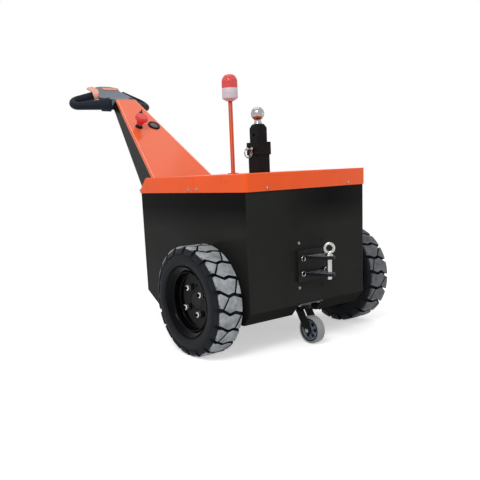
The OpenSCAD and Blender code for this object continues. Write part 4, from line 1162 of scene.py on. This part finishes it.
class TUG_PG_head(bpy.types.PropertyGroup):
    """Sizes of the column's and the beacon's finer forms"""
    sheet_round: size("Sheet edge", "Rounding of the column sheets' edges", 1.3)
    housing_voxel: size("Housing grid", "Size of the grid in which the housing's edges are softened", 1.7)
    cover_round: size("Cover edge", "Rounding of the head cover's edges", 1.0)
    turned_edge: size("Turned edge highlight", "Distance of the turned edge's line from the side of the column's sheet", 5.0)
    grip_radius: size("Grip", "Radius of the loop grips at their outer end", 18.0)
    rib_radius: size("Lens rib", "Radius of the ribs on the beacon's lens", 1.1)


class TUG_PG_towing(bpy.types.PropertyGroup):
    """Sizes of the towing gear's finer forms"""
    tube_round: size("Receiver edge", "Rounding of the receiver's edges", 1.6)
    bar_round: size("Bar edge", "Rounding of the ball bar's edges", 1.0)
    cast_round: size("Clevis edge", "Rounding of the clevis's edges", 2.0)
    eye_tube: size("Eye bar", "Radius of the round bar of the tow pin's eye", 5.5)
    eye_radius: size("Eye", "Radius of the eye's ring at the middle of its bar", 15.2)


class TUG_PG_stage(bpy.types.PropertyGroup):
    """Light and floor"""
    room_light: bpy.props.FloatProperty(name="Room light", description="Strength of the even light",
                                        default=0.5, min=0.0)
    key_power: power("Key lamp", "Power of the lamp over the camera's left", 62.0)
    fill_power: power("Fill lamp", "Power of the lamp on the hitch side", 6.0)
    top_power: power("Top lamp", "Power of the lamp over the machine", 26.0)
    floor_radius: size("Floor", "Radius of the pale floor", 4000.0)


class TUG_PG_paint(bpy.types.PropertyGroup):
    """Colours of the finishes"""
    body_black: paint("Body black", "Gloss paint of the body panels", (0.018, 0.018, 0.0172))
    lid_orange: paint("Lid orange", "Paint of the lids and the mast", (0.92, 0.106, 0.0155))
    column_orange: paint("Column orange", "Paint of the column's sheet", (0.87, 0.145, 0.05))
    grip_black: paint("Grip black", "Soft moulding of the grips and the housing", (0.0105, 0.0145, 0.0205))
    cover_grey: paint("Cover grey", "Moulded cover of the head", (0.068, 0.09, 0.122))
    lever_salmon: paint("Lever salmon", "Moulded thumb lever", (0.74, 0.33, 0.26))
    button_red: paint("Button red", "Stop button", (0.72, 0.05, 0.05))
    lens_red: paint("Lens red", "Beacon lens", (0.9, 0.1, 0.085))
    tyre_black: paint("Tyre black", "Rubber of the drive tyres", (0.0072, 0.0082, 0.0102))
    tread_dust: paint("Tread dust", "Worn faces of the tread blocks", (0.39, 0.415, 0.435))


GROUPS = {
    "tug_body": TUG_PG_body, "tug_wheels": TUG_PG_wheels, "tug_head": TUG_PG_head, "tug_towing": TUG_PG_towing,
    "tug_stage": TUG_PG_stage, "tug_paint": TUG_PG_paint,
}


class TUG_PT_panel(bpy.types.Panel):
    """The tug's pieces, with their sizes and colours"""
    bl_idname = "TUG_PT_panel"
    bl_label = "Tow Tug"
    bl_space_type = "VIEW_3D"
    bl_region_type = "UI"
    bl_category = "Tow Tug"

    def draw(self, context):
        for key, group in GROUPS.items():
            box = self.layout.box()
            box.label(text=key.replace("tug_", "").capitalize())
            for prop in group.__annotations__:
                box.prop(getattr(context.scene, key), prop)
        for operator in OPERATORS:
            self.layout.operator(operator.bl_idname)


CLASSES = tuple(GROUPS.values()) + OPERATORS + (TUG_PT_panel,)


def register():
    for c in CLASSES:
        bpy.utils.register_class(c)
    for key, group in GROUPS.items():
        setattr(bpy.types.Scene, key, bpy.props.PointerProperty(type=group))


def unregister():
    for key in GROUPS:
        delattr(bpy.types.Scene, key)
    for c in reversed(CLASSES):
        bpy.utils.unregister_class(c)


def main():
    register()
    for operator in OPERATORS:
        getattr(bpy.ops.tug, operator.bl_idname.split(".")[1])()


if __name__ == "__main__":
    main()
